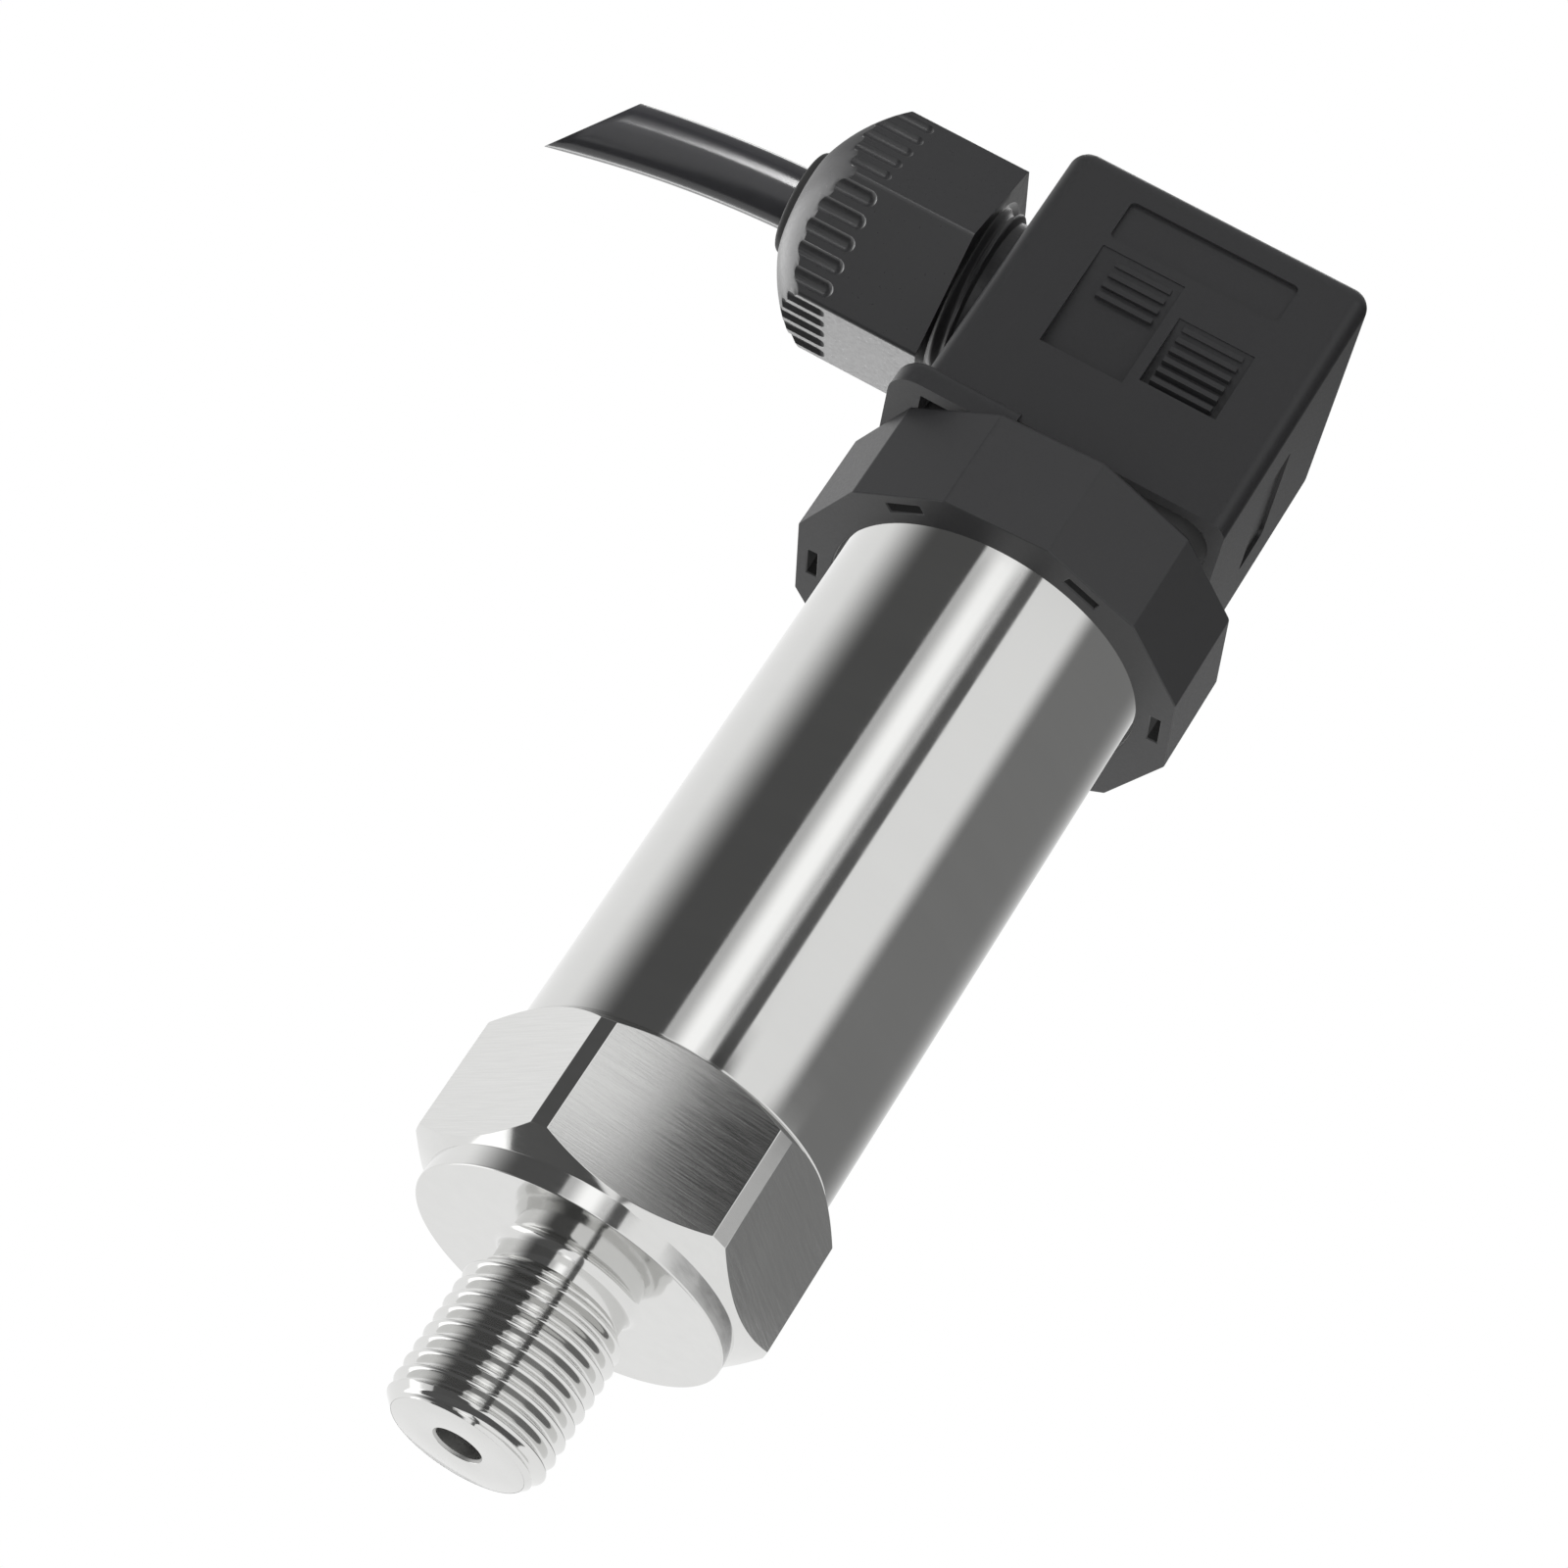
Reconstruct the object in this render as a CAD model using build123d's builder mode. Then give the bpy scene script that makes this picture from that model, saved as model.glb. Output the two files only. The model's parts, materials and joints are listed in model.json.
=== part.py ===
from build123d import *
from math import cos, radians, sin, tan
import os

# Pressure transmitter with a right-angle plug connector
# Millimetres. +Z runs from the process thread up to the plug, on the housing's axis.
# The origin is the centre of the seal face, where the port meets its threaded boss.
# The cable gland points along -X and the plug's broad face looks along -Y.

# Pressure port, turned from hexagon bar
thread_dia = 13.157
thread_reach = 15.2
tip_chamfer = 1.0
neck_dia = 10.8
neck_length = 3.2
neck_fillet = 0.9
pressure_bore = 3.8
bore_chamfer = 0.35
seal_dia = 26.0
seal_rim = 1.8
hex_flats = 27.0
hex_turned_dia = 30.4
hex_length = 12.6
hex_chamfer_angle = 36
hex_clocking = 9.5
edge_break = 0.25

# Tube housing
tube_dia = 26.7
tube_wall = 1.2
tube_seen = 49.1
tube_in_collar = 3.0
spigot_length = 4.0
fit_gap = 0.05

# Sensor cell and its ring
cell_dia = 19.0
cell_height = 11.0
cell_gap = 0.05
chamber_dia = 16.0
chamber_depth = 0.8
diaphragm_thick = 0.2
diaphragm_ripple = 0.25
ripple_count = 4
groove_depth = 1.5
groove_width = 2.2
groove_height = 2.6
pin_dia = 0.9
pin_ring_dia = 9.0
pin_count = 5
pin_rise = 1.6
ring_wall = 3.5
ring_height = 3.0
ring_slot = 2.5
ring_below_spigot = 0.4
ring_wider = 1.0

# Amplifier board and its holder
holder_dia = 22.6
holder_height = 4.0
holder_floor = 1.0
board_width = 18.0
board_height = 34.0
board_thick = 1.6
board_corner = 0.8
wire_dia = 1.3
wire_drop = 2.0
trim_size = 6.0
trim_deep = 3.2
trim_drop = 8.5

# Collar, a twelve-sided moulding that caps the tube
collar_flats = 33.5
collar_sides = 12
collar_height = 9.65
collar_clocking = 10.5
recess_gap = 0.3
recess_depth = 0.6
slot_count = 6
slot_width = 0.9
slot_length = 3.2
slot_depth = 3.0
slot_inset = 0.95
collar_spigot = 6.0
collar_spigot_wall = 1.75
collar_edge = 0.3
ring_seal_depth = 0.95
ring_seal_width = 1.3

# Contact base with its blades
base_square = 23.0
base_corner = 3.0
base_flange = 1.2
base_drop = 3.0
base_gap = 0.1
hub_dia = 7.2
hub_height = 4.4
hub_gap = 0.3
insert_dia = 4.6
insert_length = 9.5
blade_ring_dia = 18.0
blade_width = 6.3
blade_thick = 0.8
blade_rise = 10.8
blade_root = 4.2
tail_width = 2.4
tail_reach = 6.0
blade_corner = 1.0
blade_gap = 0.4
gasket_square = 25.0
gasket_thick = 1.75

# Plug housing
plug_width = 26.9
plug_depth = 27.2
plug_height = 27.0
plug_wall = 1.8
plug_corner = 1.5
plug_top_round = 1.9
block_height = 13.8
upper_inset = 1.0
roof_thick = 2.4
foot_reach = 2.05
foot_length = 10.5
foot_height = 2.6
foot_proud = 0.4
foot_gap = 0.15
foot_corner = 2.5
foot_round = 1.2
panel_depth = 0.35
panel_shallow = 0.1
panel_deep = 0.95
panel_corner = 0.5
left_panel = (-7.2, 0.2)
left_panel_down = 10.4
left_panel_height = 10.9
right_panel = (1.2, 8.0)
right_panel_down = 9.4
right_panel_height = 7.0
top_panel_up = 1.5
top_panel_height = 4.1
side_panel_width = 12.4
side_panel_height = 4.4
side_panel_down = 8.0
left_ribs = (-5.5, -0.5)
right_ribs = (1.9, 7.3)
rib_pitch = 1.1
rib_width = 0.5
rib_sunk = 0.05

# Terminal block inside the plug
block_gap = 0.2
clamp_width = 7.2
clamp_deep = 3.8
clamp_height = 7.6
clamp_gap = 0.1
clamp_slot_gap = 0.1
clamp_screw_dia = 3.0
clamp_screw_head = 1.5
clamp_shank_dia = 2.0
clamp_shank_length = 2.4
core_hole_dia = 1.9

# Central fixing screw
screw_dia = 3.0
screw_clearance = 0.05
screw_hole_gap = 0.4
screw_head_dia = 5.8
screw_head_height = 2.0
washer_dia = 7.6
washer_thick = 0.9
screw_well_dia = 8.4
screw_well_depth = 3.0
screw_boss_dia = 11.4
screw_boss_drop = 3.6
screw_tip_gap = 1.5
driver_slot = 0.9

# Cable gland
gland_drop = 8.9
neck_root_dia = 13.8
neck_root_length = 2.15
gland_thread_dia = 15.0
gland_thread_length = 9.6
gland_thread_edge = 0.6
gland_bore = 9.0
gland_seat_dia = 11.2
gland_seat_depth = 4.5
nut_flats = 19.0
nut_start = 3.55
nut_hex_length = 10.6
nut_length = 15.3
nut_dome_radius = 15.0
nut_turn = 47.6
nose_dia = 10.8
nose_hole_dia = 9.9
nut_thread_gap = 0.1
knurl_length = 2.3
knurl_width = 1.45
knurl_depth = 0.45
knurl_per_face = 5
knurl_pitch = 2.04
grommet_flange = 1.0
grommet_lip_dia = 9.3
grommet_lip_reach = 0.9
grommet_edge = 0.4
grommet_gap = 0.2
lip_flare = 0.3
slip_ring_thick = 0.8

# Cable, cut off aslant close to the gland
cable_dia = 5.6
cable_bore = 3.5
cable_free = 18.4
cable_bend_radius = 87.0
cable_bend_early = 3.9
cable_droop = 15
cable_cut_lean = 23.7
cable_cut_turn = 34.8
cable_inside = 1.2
core_dia = 1.4
core_ring_dia = 1.7
core_bend_radius = 1.6
core_in_clamp = 1.6

# Levels and radii that follow from the sizes above
hex_top = seal_rim + hex_length
spigot_top = hex_top + spigot_length
tube_radius = tube_dia / 2
tube_inner = tube_radius - tube_wall
tube_top = hex_top + tube_seen + tube_in_collar
cell_floor = spigot_top - ring_height - cell_height - ring_below_spigot
cell_top = cell_floor + cell_height
ring_top = cell_top + ring_height
cell_bore_radius = cell_dia / 2 + cell_gap
ring_radius = cell_bore_radius + ring_wider
collar_bottom = hex_top + tube_seen
collar_top = collar_bottom + collar_height
collar_bore_radius = tube_inner - fit_gap - collar_spigot_wall
base_radius = collar_bore_radius - base_gap
base_bottom = tube_top - base_drop
insert_top = collar_top + hub_height
insert_bottom = insert_top - insert_length
plug_bottom = collar_top + gasket_thick
plug_top = plug_bottom + plug_height
block_bottom = plug_bottom + block_gap
block_top = plug_bottom + block_height + block_gap
cavity_top = plug_top - roof_thick
well_floor = plug_top - screw_well_depth
gland_z = plug_top - gland_drop
plug_side = -plug_width / 2
nut_right = plug_side - nut_start
nut_left = nut_right - nut_length
neck_end = plug_side - neck_root_length - gland_thread_length
blade_top = collar_top + blade_rise
clamp_top = block_top - clamp_screw_head - 0.3
clamp_bottom = clamp_top - clamp_height

gland_axis = Axis((0, 0, gland_z), (1, 0, 0))
line_angles = (90, 180, 270)
earth_angle = 0
terminal_angles = (earth_angle,) + line_angles


def finish(part, label):
    """Name a finished sub-part and write it as its own STEP file."""
    part.label = label
    export_step(part, f"parts/{label}.step")


def rounded_square(side, corner):
    """A square with rounded corners in the open sketch."""
    RectangleRounded(side, side, corner)


def seal_ring(inner, outer, level):
    """The circle of an O-ring squeezed between two walls, in the open XZ sketch."""
    with Locations(((inner + outer) / 2, level)):
        Circle((outer - inner) / 2 - 0.01)


os.makedirs("parts", exist_ok=True)

# Pressure port: thread blank, neck, seal flange, hexagon and the spigot in the tube
thread_radius = thread_dia / 2
neck_radius = neck_dia / 2
seal_radius = seal_dia / 2
turned_radius = hex_turned_dia / 2
run_out = thread_radius - neck_radius
lower_chamfer = (turned_radius - seal_radius) * tan(radians(hex_chamfer_angle))
hex_land = tube_radius + 0.1
upper_chamfer = (turned_radius - hex_land) * tan(radians(hex_chamfer_angle))
spigot_radius = tube_inner - fit_gap
with BuildPart() as pressure_port:
    with BuildSketch(Plane.XZ) as port_outline:
        with BuildLine():
            Polyline(
                (0, -thread_reach),
                (thread_radius - tip_chamfer, -thread_reach),
                (thread_radius, tip_chamfer - thread_reach),
                (thread_radius, -neck_length - run_out * 0.6),
                (neck_radius, -neck_length),
                (neck_radius, 0),
                (seal_radius - edge_break, 0),
                (seal_radius, edge_break),
                (seal_radius, seal_rim),
                (turned_radius, seal_rim + lower_chamfer),
                (turned_radius, hex_top - upper_chamfer),
                (hex_land, hex_top),
                (spigot_radius, hex_top),
                (spigot_radius, spigot_top),
                (0, spigot_top),
                close=True,
            )
        make_face()
        fillet(port_outline.vertices().sort_by_distance((neck_radius, 0))[0], neck_fillet)
    revolve(axis=Axis.Z)
    with BuildSketch(Plane.XY.offset(seal_rim)):
        Circle(hex_turned_dia)
        RegularPolygon(
            hex_flats / 2, 6, major_radius=False, rotation=hex_clocking, mode=Mode.SUBTRACT
        )
    extrude(amount=hex_length, mode=Mode.SUBTRACT)
    with BuildSketch(Plane.XZ):
        with BuildLine():
            Polyline(
                (0, -thread_reach),
                (pressure_bore / 2 + bore_chamfer, -thread_reach),
                (pressure_bore / 2, bore_chamfer - thread_reach),
                (pressure_bore / 2, cell_floor - chamber_depth),
                (chamber_dia / 2, cell_floor - chamber_depth),
                (chamber_dia / 2, cell_floor),
                (cell_bore_radius, cell_floor),
                (cell_bore_radius, cell_top),
                (ring_radius + fit_gap, cell_top),
                (ring_radius + fit_gap, spigot_top),
                (0, spigot_top),
                close=True,
            )
        make_face()
    revolve(axis=Axis.Z, mode=Mode.SUBTRACT)
finish(pressure_port.part, "pressure_port")

# Tube, pressed on the port's spigot and welded round its foot
with BuildPart() as housing_tube:
    with BuildSketch(Plane.XY.offset(hex_top)):
        Circle(tube_radius)
        Circle(tube_inner, mode=Mode.SUBTRACT)
    extrude(amount=tube_top - hex_top)
    foot_edge = housing_tube.edges().filter_by(GeomType.CIRCLE).group_by(Axis.Z)[0]
    chamfer(foot_edge.sort_by(SortBy.RADIUS)[-1], edge_break)
finish(housing_tube.part, "housing_tube")

# Sensor cell: a capsule with a seal groove and a shallow seat for its diaphragm
groove_low = cell_floor + groove_height
diaphragm_seat = cell_floor + diaphragm_ripple + diaphragm_thick
with BuildPart() as sensor_cell:
    with BuildSketch(Plane.XZ):
        with BuildLine():
            Polyline(
                (0, diaphragm_seat),
                (chamber_dia / 2, diaphragm_seat),
                (chamber_dia / 2, cell_floor),
                (cell_dia / 2 - edge_break, cell_floor),
                (cell_dia / 2, cell_floor + edge_break),
                (cell_dia / 2, groove_low),
                (cell_dia / 2 - groove_depth, groove_low),
                (cell_dia / 2 - groove_depth, groove_low + groove_width),
                (cell_dia / 2, groove_low + groove_width),
                (cell_dia / 2, cell_top),
                (0, cell_top),
                close=True,
            )
        make_face()
    revolve(axis=Axis.Z)
    with BuildSketch(Plane.XY.offset(cell_top)):
        with PolarLocations(pin_ring_dia / 2, pin_count):
            Circle(pin_dia / 2)
    extrude(amount=-cell_height / 4, mode=Mode.SUBTRACT)
finish(sensor_cell.part, "sensor_cell")

# Diaphragm: thin foil with ring-shaped ripples, held by its rim
ripple_step = chamber_dia / 2 / (ripple_count * 2)
foil_low = [(0, cell_floor + diaphragm_ripple)]
for step in range(1, ripple_count * 2 + 1):
    lift = diaphragm_ripple if step % 2 == 0 else 0
    foil_low.append((step * ripple_step - 0.02, cell_floor + lift))
foil_high = [(x, z + diaphragm_thick) for x, z in reversed(foil_low)]
with BuildPart() as cell_diaphragm:
    with BuildSketch(Plane.XZ):
        with BuildLine():
            Polyline(*foil_low, *foil_high, close=True)
        make_face()
    revolve(axis=Axis.Z)
finish(cell_diaphragm.part, "cell_diaphragm")

with BuildPart() as cell_o_ring:
    with BuildSketch(Plane.XZ):
        seal_ring(cell_dia / 2 - groove_depth, cell_bore_radius, groove_low + groove_width / 2)
    revolve(axis=Axis.Z)
finish(cell_o_ring.part, "cell_o_ring")

with BuildPart() as cell_pins:
    with BuildSketch(Plane.XY.offset(cell_top - cell_height / 4)):
        with PolarLocations(pin_ring_dia / 2, pin_count):
            Circle(pin_dia / 2)
    extrude(amount=cell_height / 4 + pin_rise)
finish(cell_pins.part, "cell_pins")

# Retaining ring, screwed down on the cell with a pin spanner in its slots
ring_inner = ring_radius - ring_wall
with BuildPart() as retaining_ring:
    with BuildSketch(Plane.XY.offset(cell_top)):
        Circle(ring_radius)
        Circle(ring_inner, mode=Mode.SUBTRACT)
    extrude(amount=ring_height)
    with BuildSketch(Plane.XY.offset(ring_top)):
        Rectangle(ring_radius * 3, ring_slot)
    extrude(amount=-ring_height / 2, mode=Mode.SUBTRACT)
finish(retaining_ring.part, "retaining_ring")

# Board holder: a disc that stands on the port's spigot, with a slot for the board
board_bottom = spigot_top + holder_floor
board_top = board_bottom + board_height
with BuildPart() as board_holder:
    with BuildSketch(Plane.XY.offset(spigot_top)):
        Circle(holder_dia / 2)
        Circle(ring_inner - 1, mode=Mode.SUBTRACT)
    extrude(amount=holder_height)
    with BuildSketch(Plane.XY.offset(board_bottom)):
        Rectangle(board_width + 0.1, board_thick + 0.1)
    extrude(amount=holder_height, mode=Mode.SUBTRACT)
    top_rim = board_holder.edges().filter_by(GeomType.CIRCLE).group_by(Axis.Z)[-1]
    chamfer(top_rim.group_by(SortBy.RADIUS)[-1], edge_break)
finish(board_holder.part, "board_holder")

with BuildPart() as amplifier_board:
    with BuildSketch(Plane.XZ.offset(-board_thick / 2)):
        with Locations((0, board_bottom + board_height / 2)):
            RectangleRounded(board_width, board_height, board_corner)
        with GridLocations(wire_dia * 2.5, 1, 3, 1):
            with Locations((0, board_top - wire_drop)):
                Circle(wire_dia / 2, mode=Mode.SUBTRACT)
    extrude(amount=board_thick)
finish(amplifier_board.part, "amplifier_board")

# Chips and capacitors on the board's front: across, down from its top, width, height, depth
board_face = Plane.XZ.offset(board_thick / 2)
chips = (
    (-3.2, 23.5, 6.2, 10.0, 1.75),
    (4.8, 24.0, 4.0, 5.0, 1.5),
    (4.8, 16.5, 4.0, 5.0, 1.5),
    (-4.5, 13.5, 3.2, 1.6, 1.2),
    (-4.5, 16.2, 3.2, 1.6, 1.2),
)
with BuildPart() as board_chips:
    for across, down, width, height, deep in chips:
        with BuildSketch(board_face):
            with Locations((across, board_top - down)):
                Rectangle(width, height)
        extrude(amount=deep)
finish(board_chips.part, "board_chips")

# Zero and span trimmers: square pots with a slotted disc
with BuildPart() as trim_pots:
    for across in (-trim_size * 0.65, trim_size * 0.65):
        centre = (across, board_top - trim_drop)
        with BuildSketch(board_face):
            with Locations(centre):
                Rectangle(trim_size, trim_size)
        extrude(amount=trim_deep)
        with BuildSketch(Plane.XZ.offset(board_thick / 2 + trim_deep)):
            with Locations(centre):
                Circle(trim_size / 3)
                Rectangle(trim_size, 0.6, mode=Mode.SUBTRACT)
        extrude(amount=0.6)
finish(trim_pots.part, "trim_pots")

# Collar: twelve flat sides, a skirt round the tube and a spigot inside it
collar_plane = Plane.XY.offset(collar_bottom)
slot_radius = collar_flats / 2 - slot_inset - slot_width / 2
spigot_seal = tube_top - collar_spigot * 0.7
with BuildPart() as collar:
    with BuildSketch(collar_plane):
        RegularPolygon(
            collar_flats / 2, collar_sides, major_radius=False, rotation=collar_clocking
        )
    extrude(amount=collar_height)
    chamfer(collar.faces().sort_by(Axis.Z)[-1].outer_wire().edges(), collar_edge)
    with BuildSketch(collar_plane):
        Circle(tube_radius + recess_gap)
    extrude(amount=recess_depth, mode=Mode.SUBTRACT)
    with BuildSketch(collar_plane):
        Circle(tube_radius + fit_gap)
    extrude(amount=tube_in_collar, mode=Mode.SUBTRACT)
    with BuildSketch(Plane.XZ):
        with BuildLine():
            Polyline(
                (collar_bore_radius, tube_top),
                (spigot_radius, tube_top),
                (spigot_radius, spigot_seal + ring_seal_width),
                (spigot_radius - ring_seal_depth, spigot_seal + ring_seal_width),
                (spigot_radius - ring_seal_depth, spigot_seal),
                (spigot_radius, spigot_seal),
                (spigot_radius, tube_top - collar_spigot + edge_break),
                (spigot_radius - edge_break, tube_top - collar_spigot),
                (collar_bore_radius, tube_top - collar_spigot),
                close=True,
            )
        make_face()
    revolve(axis=Axis.Z)
    with BuildSketch(Plane.XY.offset(tube_top - collar_spigot)):
        Circle(collar_bore_radius)
    extrude(amount=collar_spigot + collar_height, mode=Mode.SUBTRACT)
    with BuildSketch(Plane.XY.offset(collar_top)):
        rounded_square(base_square + 2 * base_gap, base_corner + base_gap)
    extrude(amount=-base_flange, mode=Mode.SUBTRACT)
    slot_start = collar_clocking - 180 / collar_sides
    with BuildSketch(collar_plane):
        with PolarLocations(slot_radius, slot_count, start_angle=slot_start):
            Rectangle(slot_width, slot_length)
    extrude(amount=slot_depth, mode=Mode.SUBTRACT)
finish(collar.part, "collar")

with BuildPart() as collar_o_ring:
    with BuildSketch(Plane.XZ):
        seal_ring(spigot_radius - ring_seal_depth, tube_inner, spigot_seal + ring_seal_width / 2)
    revolve(axis=Axis.Z)
finish(collar_o_ring.part, "collar_o_ring")


def blade_outline(angles):
    """Sketch the wide part of each contact blade, seen from above."""
    for angle in angles:
        with PolarLocations(blade_ring_dia / 2, 1, start_angle=angle):
            Rectangle(blade_thick, blade_width)


def tail_outline(angles):
    """Sketch the narrow solder tail of each blade, seen from above."""
    for angle in angles:
        with PolarLocations(blade_ring_dia / 2, 1, start_angle=angle):
            Rectangle(blade_thick, tail_width)


# Contact base: a round body in the collar, a square flange and a central hub
tail_bottom = base_bottom - tail_reach
with BuildPart() as contact_base:
    with BuildSketch(Plane.XY.offset(base_bottom)):
        Circle(base_radius)
    extrude(amount=collar_top - base_bottom)
    with BuildSketch(Plane.XY.offset(collar_top - base_flange)):
        rounded_square(base_square, base_corner)
    extrude(amount=base_flange)
    with BuildSketch(Plane.XY.offset(collar_top)):
        Circle(hub_dia / 2)
    extrude(amount=hub_height)
    chamfer(contact_base.faces().sort_by(Axis.Z)[-1].edges(), edge_break)
    with BuildSketch(Plane.XY.offset(insert_bottom)):
        Circle(insert_dia / 2)
    extrude(amount=insert_length, mode=Mode.SUBTRACT)
    with BuildSketch(Plane.XY.offset(collar_top)):
        blade_outline(terminal_angles)
    extrude(amount=-blade_root, mode=Mode.SUBTRACT)
    with BuildSketch(Plane.XY.offset(base_bottom)):
        tail_outline(terminal_angles)
    extrude(amount=collar_top - base_bottom, mode=Mode.SUBTRACT)
finish(contact_base.part, "contact_base")


def make_blades(angles, label):
    """Flat contact blades with clipped tops and narrow tails, as one node."""
    with BuildPart() as blades:
        with BuildSketch(Plane.XY.offset(collar_top - blade_root)):
            blade_outline(angles)
        extrude(amount=blade_root + blade_rise)
        for angle in angles:
            face = Plane.XY.rotated((0, 0, angle)).offset(blade_top)
            along = face.y_dir
            tips = [e for e in blades.edges().group_by(Axis.Z)[-1]
                    if abs(e.tangent_at(0.5).dot(along)) < 0.1
                    and e.center().dot(face.x_dir) > blade_ring_dia / 4]
            chamfer(tips, blade_corner)
        with BuildSketch(Plane.XY.offset(tail_bottom)):
            tail_outline(angles)
        extrude(amount=collar_top - blade_root - tail_bottom)
    finish(blades.part, label)


make_blades(line_angles, "line_blades")
make_blades((earth_angle,), "earth_blade")

with BuildPart() as screw_insert:
    with BuildSketch(Plane.XY.offset(insert_bottom)):
        Circle(insert_dia / 2)
        Circle(screw_dia / 2 + screw_clearance, mode=Mode.SUBTRACT)
    extrude(amount=insert_length)
finish(screw_insert.part, "screw_insert")

# Flat gasket between the collar and the plug, with holes for the hub and the blades
with BuildPart() as flat_gasket:
    with BuildSketch(Plane.XY.offset(collar_top)):
        rounded_square(gasket_square, base_corner)
        Circle(hub_dia / 2 + hub_gap, mode=Mode.SUBTRACT)
        for angle in terminal_angles:
            with PolarLocations(blade_ring_dia / 2, 1, start_angle=angle):
                Rectangle(blade_thick + 2 * blade_gap, blade_width + 2 * blade_gap, mode=Mode.SUBTRACT)
    extrude(amount=gasket_thick)
finish(flat_gasket.part, "flat_gasket")

# Plug housing: a rounded box open below, with a foot, a gland neck and a screw well
neck_x = plug_side - neck_root_length
cavity_width = plug_width - 2 * plug_wall
cavity_depth = plug_depth - 2 * plug_wall
foot_left = plug_side - foot_reach
foot_bottom = collar_top + foot_gap
foot_depth = plug_depth + 2 * foot_proud
front = Plane.XZ.offset(plug_depth / 2)
front_y = -plug_depth / 2
left_low = gland_z - left_panel_down
left_high = left_low + left_panel_height
right_low = gland_z - right_panel_down
right_high = right_low + right_panel_height
top_low = gland_z + top_panel_up
top_high = top_low + top_panel_height
with BuildPart() as plug_housing:
    with BuildSketch(Plane.XY.offset(foot_bottom)) as foot_plan:
        with Locations((foot_left + foot_length / 2, 0)):
            Rectangle(foot_length, foot_depth)
        fillet(foot_plan.vertices().group_by(Axis.X)[0], foot_corner)
    extrude(amount=foot_height)
    foot_rim = plug_housing.faces().sort_by(Axis.Z)[-1].edges()
    fillet(foot_rim.sort_by(Axis.X)[:-1], foot_round)
    with BuildSketch(Plane.XY.offset(plug_bottom)):
        RectangleRounded(plug_width, plug_depth, plug_corner)
    extrude(amount=plug_height)
    fillet(plug_housing.faces().sort_by(Axis.Z)[-1].edges(), plug_top_round)
    with BuildSketch(Plane.XZ):
        with BuildLine():
            Polyline(
                (plug_side + plug_wall, gland_z),
                (plug_side + plug_wall, gland_z + neck_root_dia / 2),
                (neck_x, gland_z + neck_root_dia / 2),
                (neck_x - edge_break, gland_z + gland_thread_dia / 2),
                (neck_end + gland_thread_edge, gland_z + gland_thread_dia / 2),
                (neck_end, gland_z + gland_thread_dia / 2 - gland_thread_edge),
                (neck_end, gland_z),
                close=True,
            )
        make_face()
    revolve(axis=gland_axis)
    with BuildSketch(Plane.XY.offset(foot_bottom)):
        Rectangle(gasket_square + 0.4, gasket_square + 0.4)
    extrude(amount=plug_bottom - foot_bottom, mode=Mode.SUBTRACT)
    with BuildSketch(Plane.XY.offset(plug_bottom)):
        Rectangle(cavity_width, cavity_depth)
    extrude(amount=block_height + block_gap, mode=Mode.SUBTRACT)
    with BuildSketch(Plane.XY.offset(block_top)):
        Rectangle(cavity_width - 2 * upper_inset, cavity_depth - 2 * upper_inset)
    extrude(amount=cavity_top - block_top, mode=Mode.SUBTRACT)
    with BuildSketch(Plane.XY.offset(plug_top - screw_well_depth - screw_boss_drop)):
        Circle(screw_boss_dia / 2)
    extrude(amount=screw_boss_drop + screw_well_depth - roof_thick)
    with BuildSketch(Plane.XY.offset(plug_top)):
        Circle(screw_well_dia / 2)
    extrude(amount=-screw_well_depth, mode=Mode.SUBTRACT)
    with BuildSketch(Plane.XY.offset(plug_top)):
        Circle(screw_dia / 2 + screw_hole_gap)
    extrude(amount=-screw_well_depth - screw_boss_drop, mode=Mode.SUBTRACT)
    with BuildSketch(Plane.XZ):
        with BuildLine():
            Polyline(
                (plug_side + plug_wall + upper_inset, gland_z),
                (plug_side + plug_wall + upper_inset, gland_z + gland_bore / 2),
                (neck_end + gland_seat_depth, gland_z + gland_bore / 2),
                (neck_end, gland_z + gland_seat_dia / 2),
                (neck_end, gland_z),
                close=True,
            )
        make_face()
    revolve(axis=gland_axis, mode=Mode.SUBTRACT)
    with BuildSketch(front):
        with Locations(((left_panel[0] + right_panel[1]) / 2, (top_low + top_high) / 2)):
            RectangleRounded(right_panel[1] - left_panel[0], top_high - top_low, panel_corner)
    extrude(amount=-panel_depth, mode=Mode.SUBTRACT)
    for left, right, low, high in (
        (*left_panel, left_low, left_high),
        (*right_panel, right_low, right_high),
    ):
        with BuildSketch(Plane.YZ.offset(left)):
            with BuildLine():
                Polyline(
                    (front_y, high),
                    (front_y + panel_shallow, high),
                    (front_y + panel_deep, low),
                    (front_y, low),
                    close=True,
                )
            make_face()
        extrude(amount=right - left, mode=Mode.SUBTRACT)
    for left, right, low, high in (
        (*left_ribs, (left_low + left_high) / 2, left_high),
        (*right_ribs, right_low, right_high),
    ):
        count = int((high - low) / rib_pitch)
        with BuildSketch(front.offset(-panel_deep)):
            with Locations(((left + right) / 2, (low + high) / 2)):
                with GridLocations(1, rib_pitch, 1, count):
                    Rectangle(right - left, rib_width)
        extrude(amount=panel_deep - rib_sunk)
    with BuildSketch(Plane.YZ.offset(plug_width / 2)):
        with Locations((0, gland_z - side_panel_down + side_panel_height / 2)):
            RectangleRounded(side_panel_width, side_panel_height, panel_corner)
    extrude(amount=-panel_depth, mode=Mode.SUBTRACT)
finish(plug_housing.part, "plug_housing")

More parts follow.
